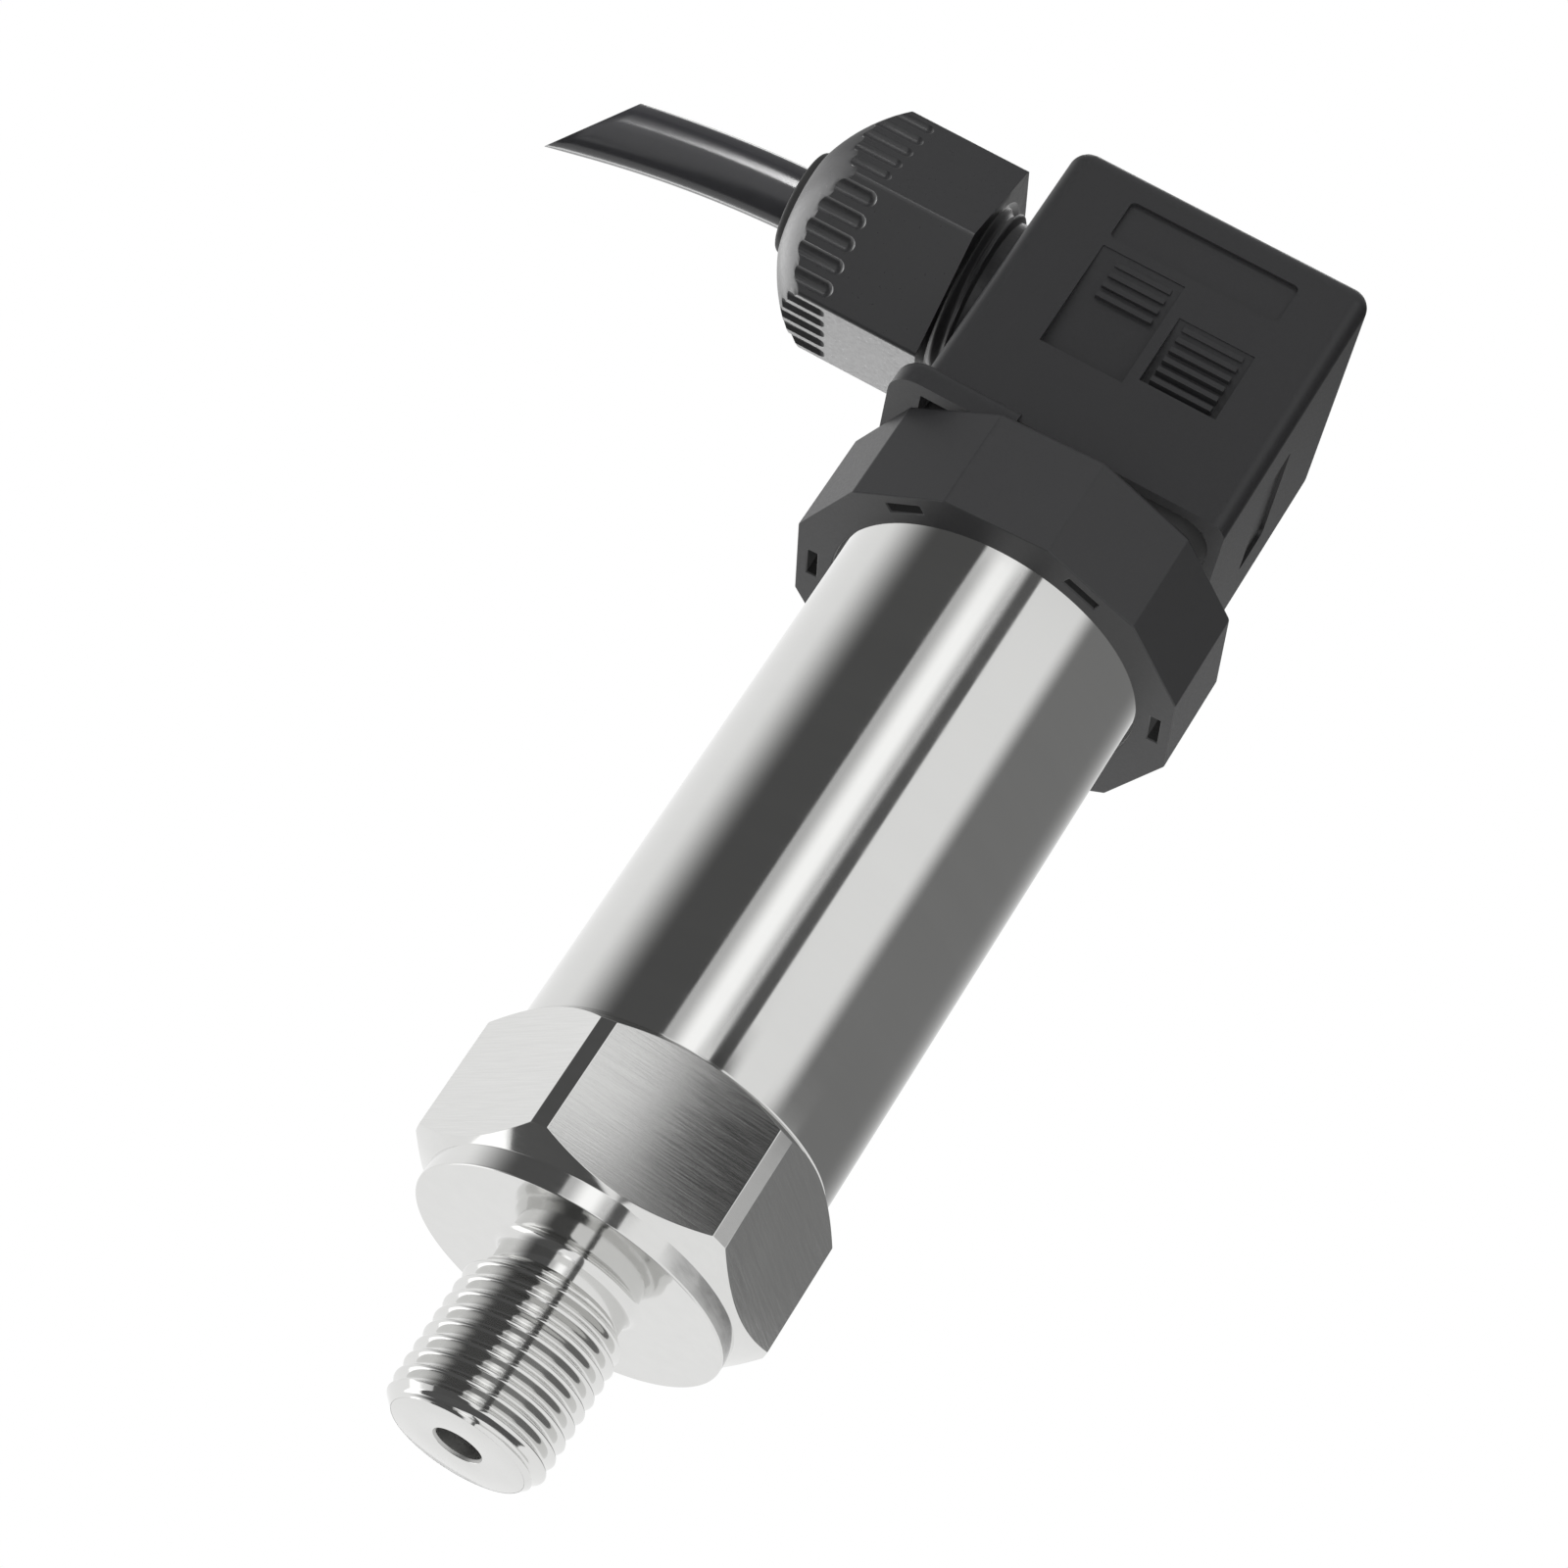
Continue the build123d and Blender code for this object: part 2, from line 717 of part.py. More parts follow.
# Terminal block: pockets for four clamps, blade slots below and a hole for the screw
pocket_width = clamp_width + 2 * clamp_gap
pocket_deep = clamp_deep + 2 * clamp_gap
clamp_radius = blade_ring_dia / 2 - 0.1
hub_hole = hub_dia / 2 + hub_gap
with BuildPart() as terminal_block:
    with BuildSketch(Plane.XY.offset(block_bottom)):
        Rectangle(cavity_width - 2 * block_gap, cavity_depth - 2 * block_gap)
    extrude(amount=block_top - block_bottom)
    with BuildSketch(Plane.XY.offset(block_top)):
        for angle in terminal_angles:
            with PolarLocations(clamp_radius, 1, start_angle=angle):
                Rectangle(pocket_deep, pocket_width)
    extrude(amount=clamp_bottom - block_top, mode=Mode.SUBTRACT)
    with BuildSketch(Plane.XY.offset(block_bottom)):
        for angle in terminal_angles:
            with PolarLocations(blade_ring_dia / 2, 1, start_angle=angle):
                Rectangle(blade_thick + 2 * blade_gap, blade_width + 2 * blade_gap)
    extrude(amount=clamp_bottom - block_bottom, mode=Mode.SUBTRACT)
    with BuildSketch(Plane.XY.offset(block_bottom)):
        Circle(hub_hole)
    extrude(amount=insert_top + hub_gap - block_bottom, mode=Mode.SUBTRACT)
    with BuildSketch(Plane.XY.offset(block_bottom)):
        Circle(screw_dia / 2 + screw_hole_gap)
    extrude(amount=block_top - block_bottom, mode=Mode.SUBTRACT)
finish(terminal_block.part, "terminal_block")

# Terminal clamps: each takes its blade from below, a core and a screw from above
screw_aside = -clamp_width / 4
core_aside = clamp_width / 4
slot_height = blade_top - clamp_bottom + blade_gap
with BuildPart() as terminal_clamps:
    with BuildSketch(Plane.XY.offset(clamp_bottom)):
        for angle in terminal_angles:
            with PolarLocations(clamp_radius, 1, start_angle=angle):
                Rectangle(clamp_deep, clamp_width)
    extrude(amount=clamp_height)
    with BuildSketch(Plane.XY.offset(clamp_bottom)):
        for angle in terminal_angles:
            with PolarLocations(blade_ring_dia / 2, 1, start_angle=angle):
                Rectangle(blade_thick + 2 * clamp_slot_gap, blade_width + 2 * clamp_slot_gap)
    extrude(amount=slot_height, mode=Mode.SUBTRACT)
    with BuildSketch(Plane.XY.offset(clamp_top)):
        for angle in terminal_angles:
            with PolarLocations(clamp_radius, 1, start_angle=angle):
                with Locations((0, core_aside)):
                    Circle(core_hole_dia / 2)
    extrude(amount=-clamp_height / 4, mode=Mode.SUBTRACT)
    with BuildSketch(Plane.XY.offset(clamp_top)):
        for angle in terminal_angles:
            with PolarLocations(clamp_radius, 1, start_angle=angle):
                with Locations((0, screw_aside)):
                    Circle(clamp_shank_dia / 2 + screw_clearance)
    extrude(amount=-clamp_shank_length, mode=Mode.SUBTRACT)
finish(terminal_clamps.part, "terminal_clamps")

with BuildPart() as clamp_screws:
    with BuildSketch(Plane.XY.offset(clamp_top)):
        for angle in terminal_angles:
            with PolarLocations(clamp_radius, 1, start_angle=angle):
                with Locations((0, screw_aside)):
                    Circle(clamp_screw_dia / 2)
    extrude(amount=clamp_screw_head)
    with BuildSketch(Plane.XY.offset(clamp_top + clamp_screw_head)):
        for angle in terminal_angles:
            with PolarLocations(clamp_radius, 1, start_angle=angle):
                with Locations((0, screw_aside)):
                    Rectangle(clamp_screw_dia, 0.5)
    extrude(amount=-clamp_screw_head / 2, mode=Mode.SUBTRACT)
    with BuildSketch(Plane.XY.offset(clamp_top)):
        for angle in terminal_angles:
            with PolarLocations(clamp_radius, 1, start_angle=angle):
                with Locations((0, screw_aside)):
                    Circle(clamp_shank_dia / 2)
    extrude(amount=-clamp_shank_length)
finish(clamp_screws.part, "clamp_screws")

# Fixing screw, held captive in the plug and turned from above
with BuildPart() as screw_washer:
    with BuildSketch(Plane.XY.offset(well_floor)):
        Circle(washer_dia / 2)
        Circle(screw_dia / 2 + screw_hole_gap, mode=Mode.SUBTRACT)
    extrude(amount=washer_thick)
finish(screw_washer.part, "screw_washer")

head_bottom = well_floor + washer_thick
screw_tip = insert_bottom + screw_tip_gap
with BuildPart() as fixing_screw:
    with BuildSketch(Plane.XY.offset(head_bottom)):
        Circle(screw_head_dia / 2)
    extrude(amount=screw_head_height)
    fillet(fixing_screw.edges().group_by(Axis.Z)[-1], screw_head_height / 4)
    with BuildSketch(Plane.XY.offset(head_bottom)):
        Circle(screw_dia / 2)
    extrude(amount=screw_tip - head_bottom)
    chamfer(fixing_screw.edges().group_by(Axis.Z)[0], screw_dia / 8)
    with BuildSketch(Plane.XY.offset(head_bottom + screw_head_height)):
        Rectangle(screw_head_dia * 2, driver_slot)
    extrude(amount=-screw_head_height / 2, mode=Mode.SUBTRACT)
finish(fixing_screw.part, "fixing_screw")

# Gland grommet: a rubber sleeve, wide at its seat, whose lip shows at the nose
cable_radius = cable_dia / 2
grommet_left = nut_left - grommet_lip_reach
shoulder = neck_end - grommet_flange
slip_left = shoulder - slip_ring_thick
thread_bore_radius = gland_thread_dia / 2 + nut_thread_gap
lip_radius = grommet_lip_dia / 2
with BuildPart() as gland_grommet:
    with BuildSketch(Plane.XZ):
        with BuildLine():
            Polyline(
                (neck_end + gland_seat_depth, gland_z + cable_radius),
                (neck_end + gland_seat_depth, gland_z + gland_bore / 2 - grommet_gap),
                (neck_end, gland_z + gland_seat_dia / 2 - grommet_gap),
                (neck_end, gland_z + gland_thread_dia / 2 - grommet_gap),
                (shoulder, gland_z + gland_thread_dia / 2 - grommet_gap),
                (shoulder, gland_z + lip_radius),
                (grommet_left + grommet_edge, gland_z + lip_radius),
                (grommet_left, gland_z + lip_radius - grommet_edge),
                (grommet_left, gland_z + cable_radius + lip_flare),
                (grommet_left + cable_bend_early, gland_z + cable_radius),
                close=True,
            )
        make_face()
    revolve(axis=gland_axis)
finish(gland_grommet.part, "gland_grommet")

with BuildPart() as slip_ring:
    with BuildSketch(Plane.YZ.offset(slip_left)):
        with Locations((0, gland_z)):
            Circle(gland_thread_dia / 2 - grommet_gap)
            Circle(lip_radius + 0.1, mode=Mode.SUBTRACT)
    extrude(amount=slip_ring_thick)
finish(slip_ring.part, "slip_ring")

# Gland nut: a hexagon with a domed nose and grip grooves along the end of each face
nut_corner = nut_flats / 2 / cos(radians(30))
hex_left = nut_right - nut_hex_length
knurl_start = hex_left + knurl_length
nose_radius = nose_dia / 2
with BuildPart() as gland_nut:
    with BuildSketch(Plane.YZ.offset(nut_right)):
        with Locations((0, gland_z)):
            RegularPolygon(nut_corner, 6, rotation=180 - nut_turn)
    extrude(amount=-nut_length)
    with BuildSketch(Plane.XZ):
        with BuildLine():
            dome_start = (hex_left, gland_z + nut_corner + 0.2)
            dome_end = (nut_left, gland_z + nose_radius)
            RadiusArc(dome_start, dome_end, -nut_dome_radius)
            Polyline(
                dome_end,
                (nut_left, gland_z + nut_corner * 2),
                (hex_left, gland_z + nut_corner * 2),
                dome_start,
            )
        make_face()
    revolve(axis=gland_axis, mode=Mode.SUBTRACT)
    with BuildSketch(Plane.XZ):
        with BuildLine():
            Polyline(
                (nut_right, gland_z),
                (nut_right, gland_z + thread_bore_radius + gland_thread_edge),
                (nut_right - gland_thread_edge, gland_z + thread_bore_radius),
                (slip_left, gland_z + thread_bore_radius),
                (slip_left, gland_z + nose_hole_dia / 2),
                (nut_left, gland_z + nose_hole_dia / 2),
                (nut_left, gland_z),
                close=True,
            )
        make_face()
    revolve(axis=gland_axis, mode=Mode.SUBTRACT)
    knurl_run = nut_left - knurl_start
    for side in range(6):
        face_angle = side * 60 + 30 + 180 - nut_turn
        for groove in range(knurl_per_face):
            aside = (groove - (knurl_per_face - 1) / 2) * knurl_pitch
            out = Vector(0, cos(radians(face_angle)), sin(radians(face_angle)))
            along = Vector(0, -sin(radians(face_angle)), cos(radians(face_angle)))
            place = out * (nut_flats / 2) + along * aside + Vector(knurl_start, 0, gland_z)
            with BuildSketch(Plane(place, x_dir=along, z_dir=(-1, 0, 0))):
                Rectangle(knurl_width, knurl_depth * 2)
            extrude(amount=-knurl_run, mode=Mode.SUBTRACT)
finish(gland_nut.part, "gland_nut")

# Cable: straight through the gland, then a gentle droop to a slanting cut
cable_start = plug_side + plug_wall + upper_inset + cable_inside
bend_start = grommet_left + cable_bend_early
droop = radians(cable_droop)
bend_x = bend_start - cable_bend_radius * tan(droop / 2)
run = cable_free * 2
cable_end = (bend_x - run * cos(droop), gland_z - run * sin(droop))
cut_x = grommet_left - cable_free
cut_z = gland_z - (bend_start - cut_x) ** 2 / (2 * cable_bend_radius)
cut_lean = radians(cable_cut_lean)
cut_turn = radians(cable_cut_turn)
cut_plane = Plane(
    (cut_x, 0, cut_z),
    z_dir=(cos(cut_lean) * cos(cut_turn), cos(cut_lean) * sin(cut_turn), -sin(cut_lean)),
)

with BuildPart() as cable_sheath:
    with BuildLine():
        FilletPolyline(
            (cable_start, 0, gland_z),
            (bend_x, 0, gland_z),
            (cable_end[0], 0, cable_end[1]),
            radius=cable_bend_radius,
        )
    with BuildSketch(Plane((cable_start, 0, gland_z), z_dir=(-1, 0, 0))):
        Circle(cable_radius)
        Circle(cable_bore / 2, mode=Mode.SUBTRACT)
    sweep()
    split(bisect_by=cut_plane, keep=Keep.TOP)
finish(cable_sheath.part, "cable_sheath")

# Cores: three wires that run from the cut, fan out and end in two lines and the earth.
# The earth core turns later and stays higher, to pass the screw and the core below it.
core_turn = cable_start + 2 * core_bend_radius
core_level = block_top + 2 * core_dia
earth_step = screw_head_dia / 2 + core_dia / 2
earth_lift = 1.2 * core_dia
earth_late = 1.2 * core_bend_radius
with BuildPart() as cable_cores:
    for place, angle in ((90, earth_angle), (210, line_angles[2]), (330, line_angles[0])):
        aside = core_ring_dia / 2 * cos(radians(place))
        up = core_ring_dia / 2 * sin(radians(place))
        hole = Plane.XY.rotated((0, 0, angle))
        hole_at = hole.x_dir * clamp_radius + hole.y_dir * core_aside
        is_earth = angle == earth_angle
        step_aside = earth_step if is_earth else aside
        step_level = core_level + earth_lift if is_earth else core_level
        turn = core_turn + earth_late if is_earth else core_turn
        with BuildLine() as route:
            FilletPolyline(
                (cable_end[0], aside, cable_end[1] + up),
                (bend_x, aside, gland_z + up),
                (turn, aside, gland_z + up),
                (turn + 2 * core_bend_radius, step_aside, step_level),
                (hole_at.X, hole_at.Y, core_level + core_dia / 4),
                (hole_at.X, hole_at.Y, clamp_top - core_in_clamp),
                radius=[cable_bend_radius] + [core_bend_radius] * 3,
            )
        with BuildSketch(Plane(route.line @ 0, z_dir=route.line % 0)):
            Circle(core_dia / 2)
        sweep()
    split(bisect_by=cut_plane, keep=Keep.TOP)
finish(cable_cores.part, "cable_cores")
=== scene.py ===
# %% [markdown]
# # Pressure transmitter
# A pressure transmitter screws into a pipe with its threaded port, measures the pressure
# there, and sends a signal through the cable plug on its other end. The CAD frame already
# has every piece at its real size and place. This file dresses it: it gives the metal and
# the mouldings their finishes, and remodels the pieces that need finer edges or a thread.

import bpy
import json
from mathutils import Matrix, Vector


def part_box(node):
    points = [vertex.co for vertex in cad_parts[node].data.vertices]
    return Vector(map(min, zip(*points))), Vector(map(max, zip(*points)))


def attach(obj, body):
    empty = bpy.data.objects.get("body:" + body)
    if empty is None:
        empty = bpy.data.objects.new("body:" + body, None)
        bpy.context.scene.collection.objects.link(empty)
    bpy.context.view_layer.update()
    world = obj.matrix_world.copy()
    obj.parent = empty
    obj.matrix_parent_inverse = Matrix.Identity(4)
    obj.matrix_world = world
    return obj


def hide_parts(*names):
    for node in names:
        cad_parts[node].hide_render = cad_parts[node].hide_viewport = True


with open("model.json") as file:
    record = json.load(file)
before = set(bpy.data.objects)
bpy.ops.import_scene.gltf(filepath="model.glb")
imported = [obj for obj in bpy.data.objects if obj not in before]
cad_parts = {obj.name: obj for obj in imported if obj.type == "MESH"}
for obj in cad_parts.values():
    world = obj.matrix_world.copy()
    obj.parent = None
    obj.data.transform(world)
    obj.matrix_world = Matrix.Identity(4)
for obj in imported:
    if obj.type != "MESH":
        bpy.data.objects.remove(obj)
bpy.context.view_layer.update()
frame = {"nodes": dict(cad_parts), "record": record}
nodes = frame["nodes"]

# %% [markdown]
# All sizes below are written in millimetres, as on a drawing, and multiplied by MM where a
# mesh is made, because Blender works in metres here. Z runs up the housing's axis and the
# cable gland points along -X.

# %% Libraries and units
import json
from math import atan2, cos, hypot, pi, radians, sin, tan

import bmesh
import bpy
from mathutils import Matrix, Vector

MM = 0.001


def box_mm(name):
    """A CAD node's lowest and highest corners in millimetres."""
    low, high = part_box(name)
    return [v / MM for v in low], [v / MM for v in high]


port_low, port_high = box_mm("pressure_port")
tube_low, tube_high = box_mm("housing_tube")
nut_low, nut_high = box_mm("gland_nut")
grommet_low, grommet_high = box_mm("gland_grommet")
plug_low = box_mm("plug_housing")[0]
print("port", port_low[2], "to", port_high[2], "tube radius", tube_high[0])

# %% [markdown]
# Turned parts are shapes of revolution. A lathe works from an outline, so the helper below
# does too: it takes the corners of the outline, rounds each one by its own small radius,
# and spins it. Real metal and plastic never have perfectly sharp corners, and the small
# rounds are what catches the light along an edge.

# %% Outline and lathe helpers
def rounded(corners, steps=5):
    """Points of a closed outline whose corners (x, y, radius) are rounded by arcs."""
    points = []
    count = len(corners)
    for index, corner in enumerate(corners):
        here = Vector(corner[:2])
        radius = corner[2] if len(corner) > 2 else 0
        before = Vector(corners[index - 1][:2]) - here
        after = Vector(corners[(index + 1) % count][:2]) - here
        if radius <= 0:
            points.append(here)
            continue
        half = before.angle(after) / 2
        reach = min(radius / tan(half), before.length * 0.49, after.length * 0.49)
        radius = reach * tan(half)
        middle = here + (before.normalized() + after.normalized()).normalized() * (
            radius / sin(half)
        )
        start = here + before.normalized() * reach - middle
        end = here + after.normalized() * reach - middle
        turn = start.angle_signed(end)
        for step in range(steps + 1):
            points.append(middle + start @ Matrix.Rotation(turn * step / steps, 2))
    return points


def new_piece(name, mesh_data, place=Matrix.Identity(4)):
    """A mesh object made from a bmesh in millimetres, placed and scaled to metres."""
    mesh = bpy.data.meshes.new(name)
    mesh_data.transform(Matrix.Scale(MM, 4) @ place)
    bmesh.ops.recalc_face_normals(mesh_data, faces=mesh_data.faces)
    mesh_data.to_mesh(mesh)
    mesh_data.free()
    piece = bpy.data.objects.new(name, mesh)
    bpy.context.scene.collection.objects.link(piece)
    return piece


def lathe(name, corners, place=Matrix.Identity(4), segments=180):
    """Spin a closed outline of (radius, height, rounding) corners about the Z axis."""
    work = bmesh.new()
    outline = rounded(corners)
    rings = []
    for point in outline:
        if point.x < 1e-6:
            rings.append([work.verts.new((0, 0, point.y))])
            continue
        ring = []
        for step in range(segments):
            angle = 2 * pi * step / segments
            ring.append(work.verts.new((point.x * cos(angle), point.x * sin(angle), point.y)))
        rings.append(ring)
    for index, ring in enumerate(rings):
        other = rings[(index + 1) % len(rings)]
        for step in range(segments):
            after = (step + 1) % segments
            if len(ring) == 1 and len(other) == 1:
                break
            if len(ring) == 1:
                work.faces.new((ring[0], other[after], other[step]))
            elif len(other) == 1:
                work.faces.new((ring[step], ring[after], other[0]))
            else:
                work.faces.new((ring[step], ring[after], other[after], other[step]))
    return new_piece(name, work, place)


def prism(name, radius, sides, first_angle, low, high, place=Matrix.Identity(4)):
    """A straight prism on a regular polygon, with a corner at first_angle degrees."""
    work = bmesh.new()
    rings = []
    for height in (low, high):
        ring = []
        for side in range(sides):
            angle = radians(first_angle + 360 * side / sides)
            ring.append(work.verts.new((radius * cos(angle), radius * sin(angle), height)))
        rings.append(ring)
    work.faces.new(rings[0])
    work.faces.new(rings[1])
    for side in range(sides):
        after = (side + 1) % sides
        work.faces.new((rings[0][side], rings[0][after], rings[1][after], rings[1][side]))
    return new_piece(name, work, place)


# %% [markdown]
# Modifiers do the cutting and the edge rounding. Each is applied at once by reading back
# the evaluated mesh, so every finished piece is plain geometry that exports well. Cutters
# are thrown away after use.

# %% Modifier helpers
def bake(piece):
    """Turn a piece's modifiers into plain mesh data."""
    graph = bpy.context.evaluated_depsgraph_get()
    mesh = bpy.data.meshes.new_from_object(piece.evaluated_get(graph))
    piece.modifiers.clear()
    piece.data = mesh
    return piece


def carve(piece, tool, operation):
    """Cut, join or intersect a piece with a tool, and remove the tool."""
    cut = piece.modifiers.new("carve", "BOOLEAN")
    cut.operation = operation
    cut.solver = "EXACT"
    cut.object = tool
    bake(piece)
    bpy.data.objects.remove(tool)
    return piece


def soften(piece, width, above=25, segments=2):
    """Round every edge that is sharper than some angle, and shade the piece smoothly."""
    bevel = piece.modifiers.new("soften", "BEVEL")
    bevel.limit_method = "ANGLE"
    bevel.angle_limit = radians(above)
    bevel.width = width * MM
    bevel.segments = segments
    bevel.use_clamp_overlap = True
    bake(piece)
    return level_flats(smooth(piece))


def smooth(piece, sharp=32):
    """Shade a piece smoothly, apart from edges sharper than some angle."""
    for face in piece.data.polygons:
        face.use_smooth = True
    piece.data.set_sharp_from_angle(angle=radians(sharp))
    return piece


def level_flats(piece):
    """Let each large flat face keep its own normal, so that only the rounds shade."""
    weighted = piece.modifiers.new("level_flats", "WEIGHTED_NORMAL")
    weighted.weight = 100
    weighted.keep_sharp = True
    return bake(piece)


def copy_node(name, new_name):
    """A merged copy of a CAD node's mesh, whose flat faces are whole again."""
    piece = bpy.data.objects.new(new_name, nodes[name].data.copy())
    piece.data.materials.clear()
    bpy.context.scene.collection.objects.link(piece)
    work = bmesh.new()
    work.from_mesh(piece.data)
    bmesh.ops.remove_doubles(work, verts=work.verts, dist=0.002 * MM)
    bmesh.ops.dissolve_limit(
        work, angle_limit=radians(0.4), verts=work.verts, edges=work.edges
    )
    work.to_mesh(piece.data)
    work.free()
    return piece


# %% [markdown]
# Every finish is a procedural material. One helper builds the part that they share: a
# Principled shader whose roughness wanders a little, and a fine bump. The grain can be
# stretched, so the same noise gives the even grain of a moulding or the long thin lines
# that a lathe or a belt leaves on steel.

# %% Material helper
def finish(name, colour, metallic=0.0, rough=(0.4, 0.5), grain=(1, 1, 1), size=2.0,
           bump=0.1, depth=0.02, tint=0.0):
    """A material with a wandering roughness, a grain of some size in mm and a bump."""
    material = bpy.data.materials.new(name)
    material.use_nodes = True
    tree = material.node_tree
    shader = tree.nodes["Principled BSDF"]
    shader.inputs["Metallic"].default_value = metallic
    shader.inputs["Base Color"].default_value = (*colour, 1)
    where = tree.nodes.new("ShaderNodeTexCoord")
    stretch = tree.nodes.new("ShaderNodeMapping")
    stretch.inputs["Scale"].default_value = grain
    tree.links.new(where.outputs["Object"], stretch.inputs["Vector"])
    noise = tree.nodes.new("ShaderNodeTexNoise")
    noise.inputs["Scale"].default_value = 1 / (size * MM)
    noise.inputs["Detail"].default_value = 6
    noise.inputs["Roughness"].default_value = 0.6
    tree.links.new(stretch.outputs["Vector"], noise.inputs["Vector"])
    spread = tree.nodes.new("ShaderNodeMapRange")
    spread.inputs["From Min"].default_value = 0.25
    spread.inputs["From Max"].default_value = 0.75
    spread.inputs["To Min"].default_value = rough[0]
    spread.inputs["To Max"].default_value = rough[1]
    tree.links.new(noise.outputs["Fac"], spread.inputs["Value"])
    tree.links.new(spread.outputs["Result"], shader.inputs["Roughness"])
    raise_up = tree.nodes.new("ShaderNodeBump")
    raise_up.inputs["Strength"].default_value = bump
    raise_up.inputs["Distance"].default_value = depth * MM
    tree.links.new(noise.outputs["Fac"], raise_up.inputs["Height"])
    tree.links.new(raise_up.outputs["Normal"], shader.inputs["Normal"])
    if tint:
        shade = tree.nodes.new("ShaderNodeMixRGB")
        shade.blend_type = "MIX"
        shade.inputs["Color1"].default_value = (*[c * (1 - tint) for c in colour], 1)
        shade.inputs["Color2"].default_value = (*[min(1, c * (1 + tint)) for c in colour], 1)
        tree.links.new(noise.outputs["Fac"], shade.inputs["Fac"])
        tree.links.new(shade.outputs["Color"], shader.inputs["Base Color"])
    return material


# %% [markdown]
# The port and its hexagon are turned from bright stainless bar, and the tube is drawn and
# polished, so it mirrors the studio almost sharply. Both keep very fine lines round the
# axis. The noise is squeezed along Z and stretched across it, which draws those lines.

# %% Metal finishes
turned_steel = finish(
    "turned_steel", (0.7, 0.7, 0.69), metallic=1.0, rough=(0.06, 0.12),
    grain=(0.3, 0.3, 1), size=0.6, bump=0.05, depth=0.005, tint=0.04,
)
milled_steel = finish(
    "milled_steel", (0.7, 0.7, 0.69), metallic=1.0, rough=(0.05, 0.12),
    grain=(0.03, 0.03, 1), size=0.13, bump=0.25, depth=0.004, tint=0.09,
)
thread_steel = finish(
    "thread_steel", (0.72, 0.72, 0.71), metallic=1.0, rough=(0.05, 0.1),
    grain=(0.3, 0.3, 1), size=1.2, bump=0.04, depth=0.005, tint=0.04,
)
polished_tube = finish(
    "polished_tube", (0.66, 0.66, 0.65), metallic=1.0, rough=(0.045, 0.1),
    grain=(0.05, 0.05, 1), size=3.0, bump=0.03, depth=0.01, tint=0.03,
)
drilled_steel = finish(
    "drilled_steel", (0.5, 0.5, 0.49), metallic=1.0, rough=(0.38, 0.5),
    grain=(0.3, 0.3, 1), size=0.5, bump=0.2, depth=0.01, tint=0.06,
)
brass = finish(
    "brass", (0.78, 0.58, 0.28), metallic=1.0, rough=(0.2, 0.34), size=0.8, tint=0.05
)
tinned = finish(
    "tinned", (0.72, 0.71, 0.68), metallic=1.0, rough=(0.24, 0.32), size=2.0, bump=0.03,
    tint=0.04,
)
print("metals:", turned_steel.name, milled_steel.name, polished_tube.name)

# %% [markdown]
# The collar, the plug and the gland nut are black nylon and the seals are rubber. Black
# plastic is never quite black: it is a very dark grey whose fine moulded grain breaks up
# its shine. The gland nut is glossier than the rest.

# %% Plastic and rubber finishes
black_moulding = finish(
    "black_moulding", (0.022, 0.022, 0.023), rough=(0.34, 0.46), size=0.22,
    bump=0.25, depth=0.02, tint=0.2,
)
# Painted shade: a near-black, matt material that stands in for the shade inside the collar's deep
# slots.
slot_shade = finish("slot_shade", (0.003, 0.003, 0.003), rough=(0.8, 0.9), size=0.3)
black_gland = finish(
    "black_gland", (0.02, 0.02, 0.021), rough=(0.26, 0.36), size=0.35,
    bump=0.12, depth=0.015, tint=0.15,
)
black_rubber = finish(
    "black_rubber", (0.018, 0.018, 0.018), rough=(0.55, 0.7), size=0.3, tint=0.2
)
cable_jacket = finish(
    "cable_jacket", (0.02, 0.02, 0.022), rough=(0.17, 0.2), size=1.6, bump=0.004, tint=0.15
)
grey_insulator = finish(
    "grey_insulator", (0.24, 0.24, 0.24), rough=(0.4, 0.5), size=0.4, tint=0.1
)
ceramic = finish("ceramic", (0.8, 0.78, 0.73), rough=(0.5, 0.6), size=0.3, tint=0.04)
print("mouldings:", black_moulding.name, black_gland.name, black_rubber.name)

# %% [markdown]
# The thread is the one shape here that follows a rule from end to end, so Geometry Nodes
# build it. A sculpted or displaced cylinder would need far more faces. Here a flat grid is
# rolled up so that its rows climb one pitch for each turn, and each row keeps one place on
# the thread's profile. The profile is a straight flank whose top and bottom are rounded by
# a smooth minimum and a smooth maximum. Two cones limit the radius: one makes the chamfer
# at the tip, the other the run-out.

# %% Node tree helpers
def new_tree(name, inputs):
    """A Geometry Nodes tree with named inputs, each given as (name, kind, value)."""
    tree = bpy.data.node_groups.new(name, "GeometryNodeTree")
    tree.interface.new_socket("Geometry", in_out="INPUT", socket_type="NodeSocketGeometry")
    for label, kind, value in inputs:
        socket = tree.interface.new_socket(
            label, in_out="INPUT", socket_type="NodeSocket" + kind
        )
        if value is not None:
            socket.default_value = value
    tree.interface.new_socket("Geometry", in_out="OUTPUT", socket_type="NodeSocketGeometry")
    tree.nodes.new("NodeGroupInput")
    tree.nodes.new("NodeGroupOutput")
    return tree


def feed(tree, slot, value):
    """Link a socket into a slot, or set the slot's own value."""
    if isinstance(value, bpy.types.NodeSocket):
        tree.links.new(value, slot)
    else:
        slot.default_value = value


def reckon(tree, operation, *values):
    """A Math node's result for sockets or plain numbers."""
    node = tree.nodes.new("ShaderNodeMath")
    node.operation = operation
    for slot, value in zip(node.inputs, values):
        feed(tree, slot, value)
    return node.outputs[0]


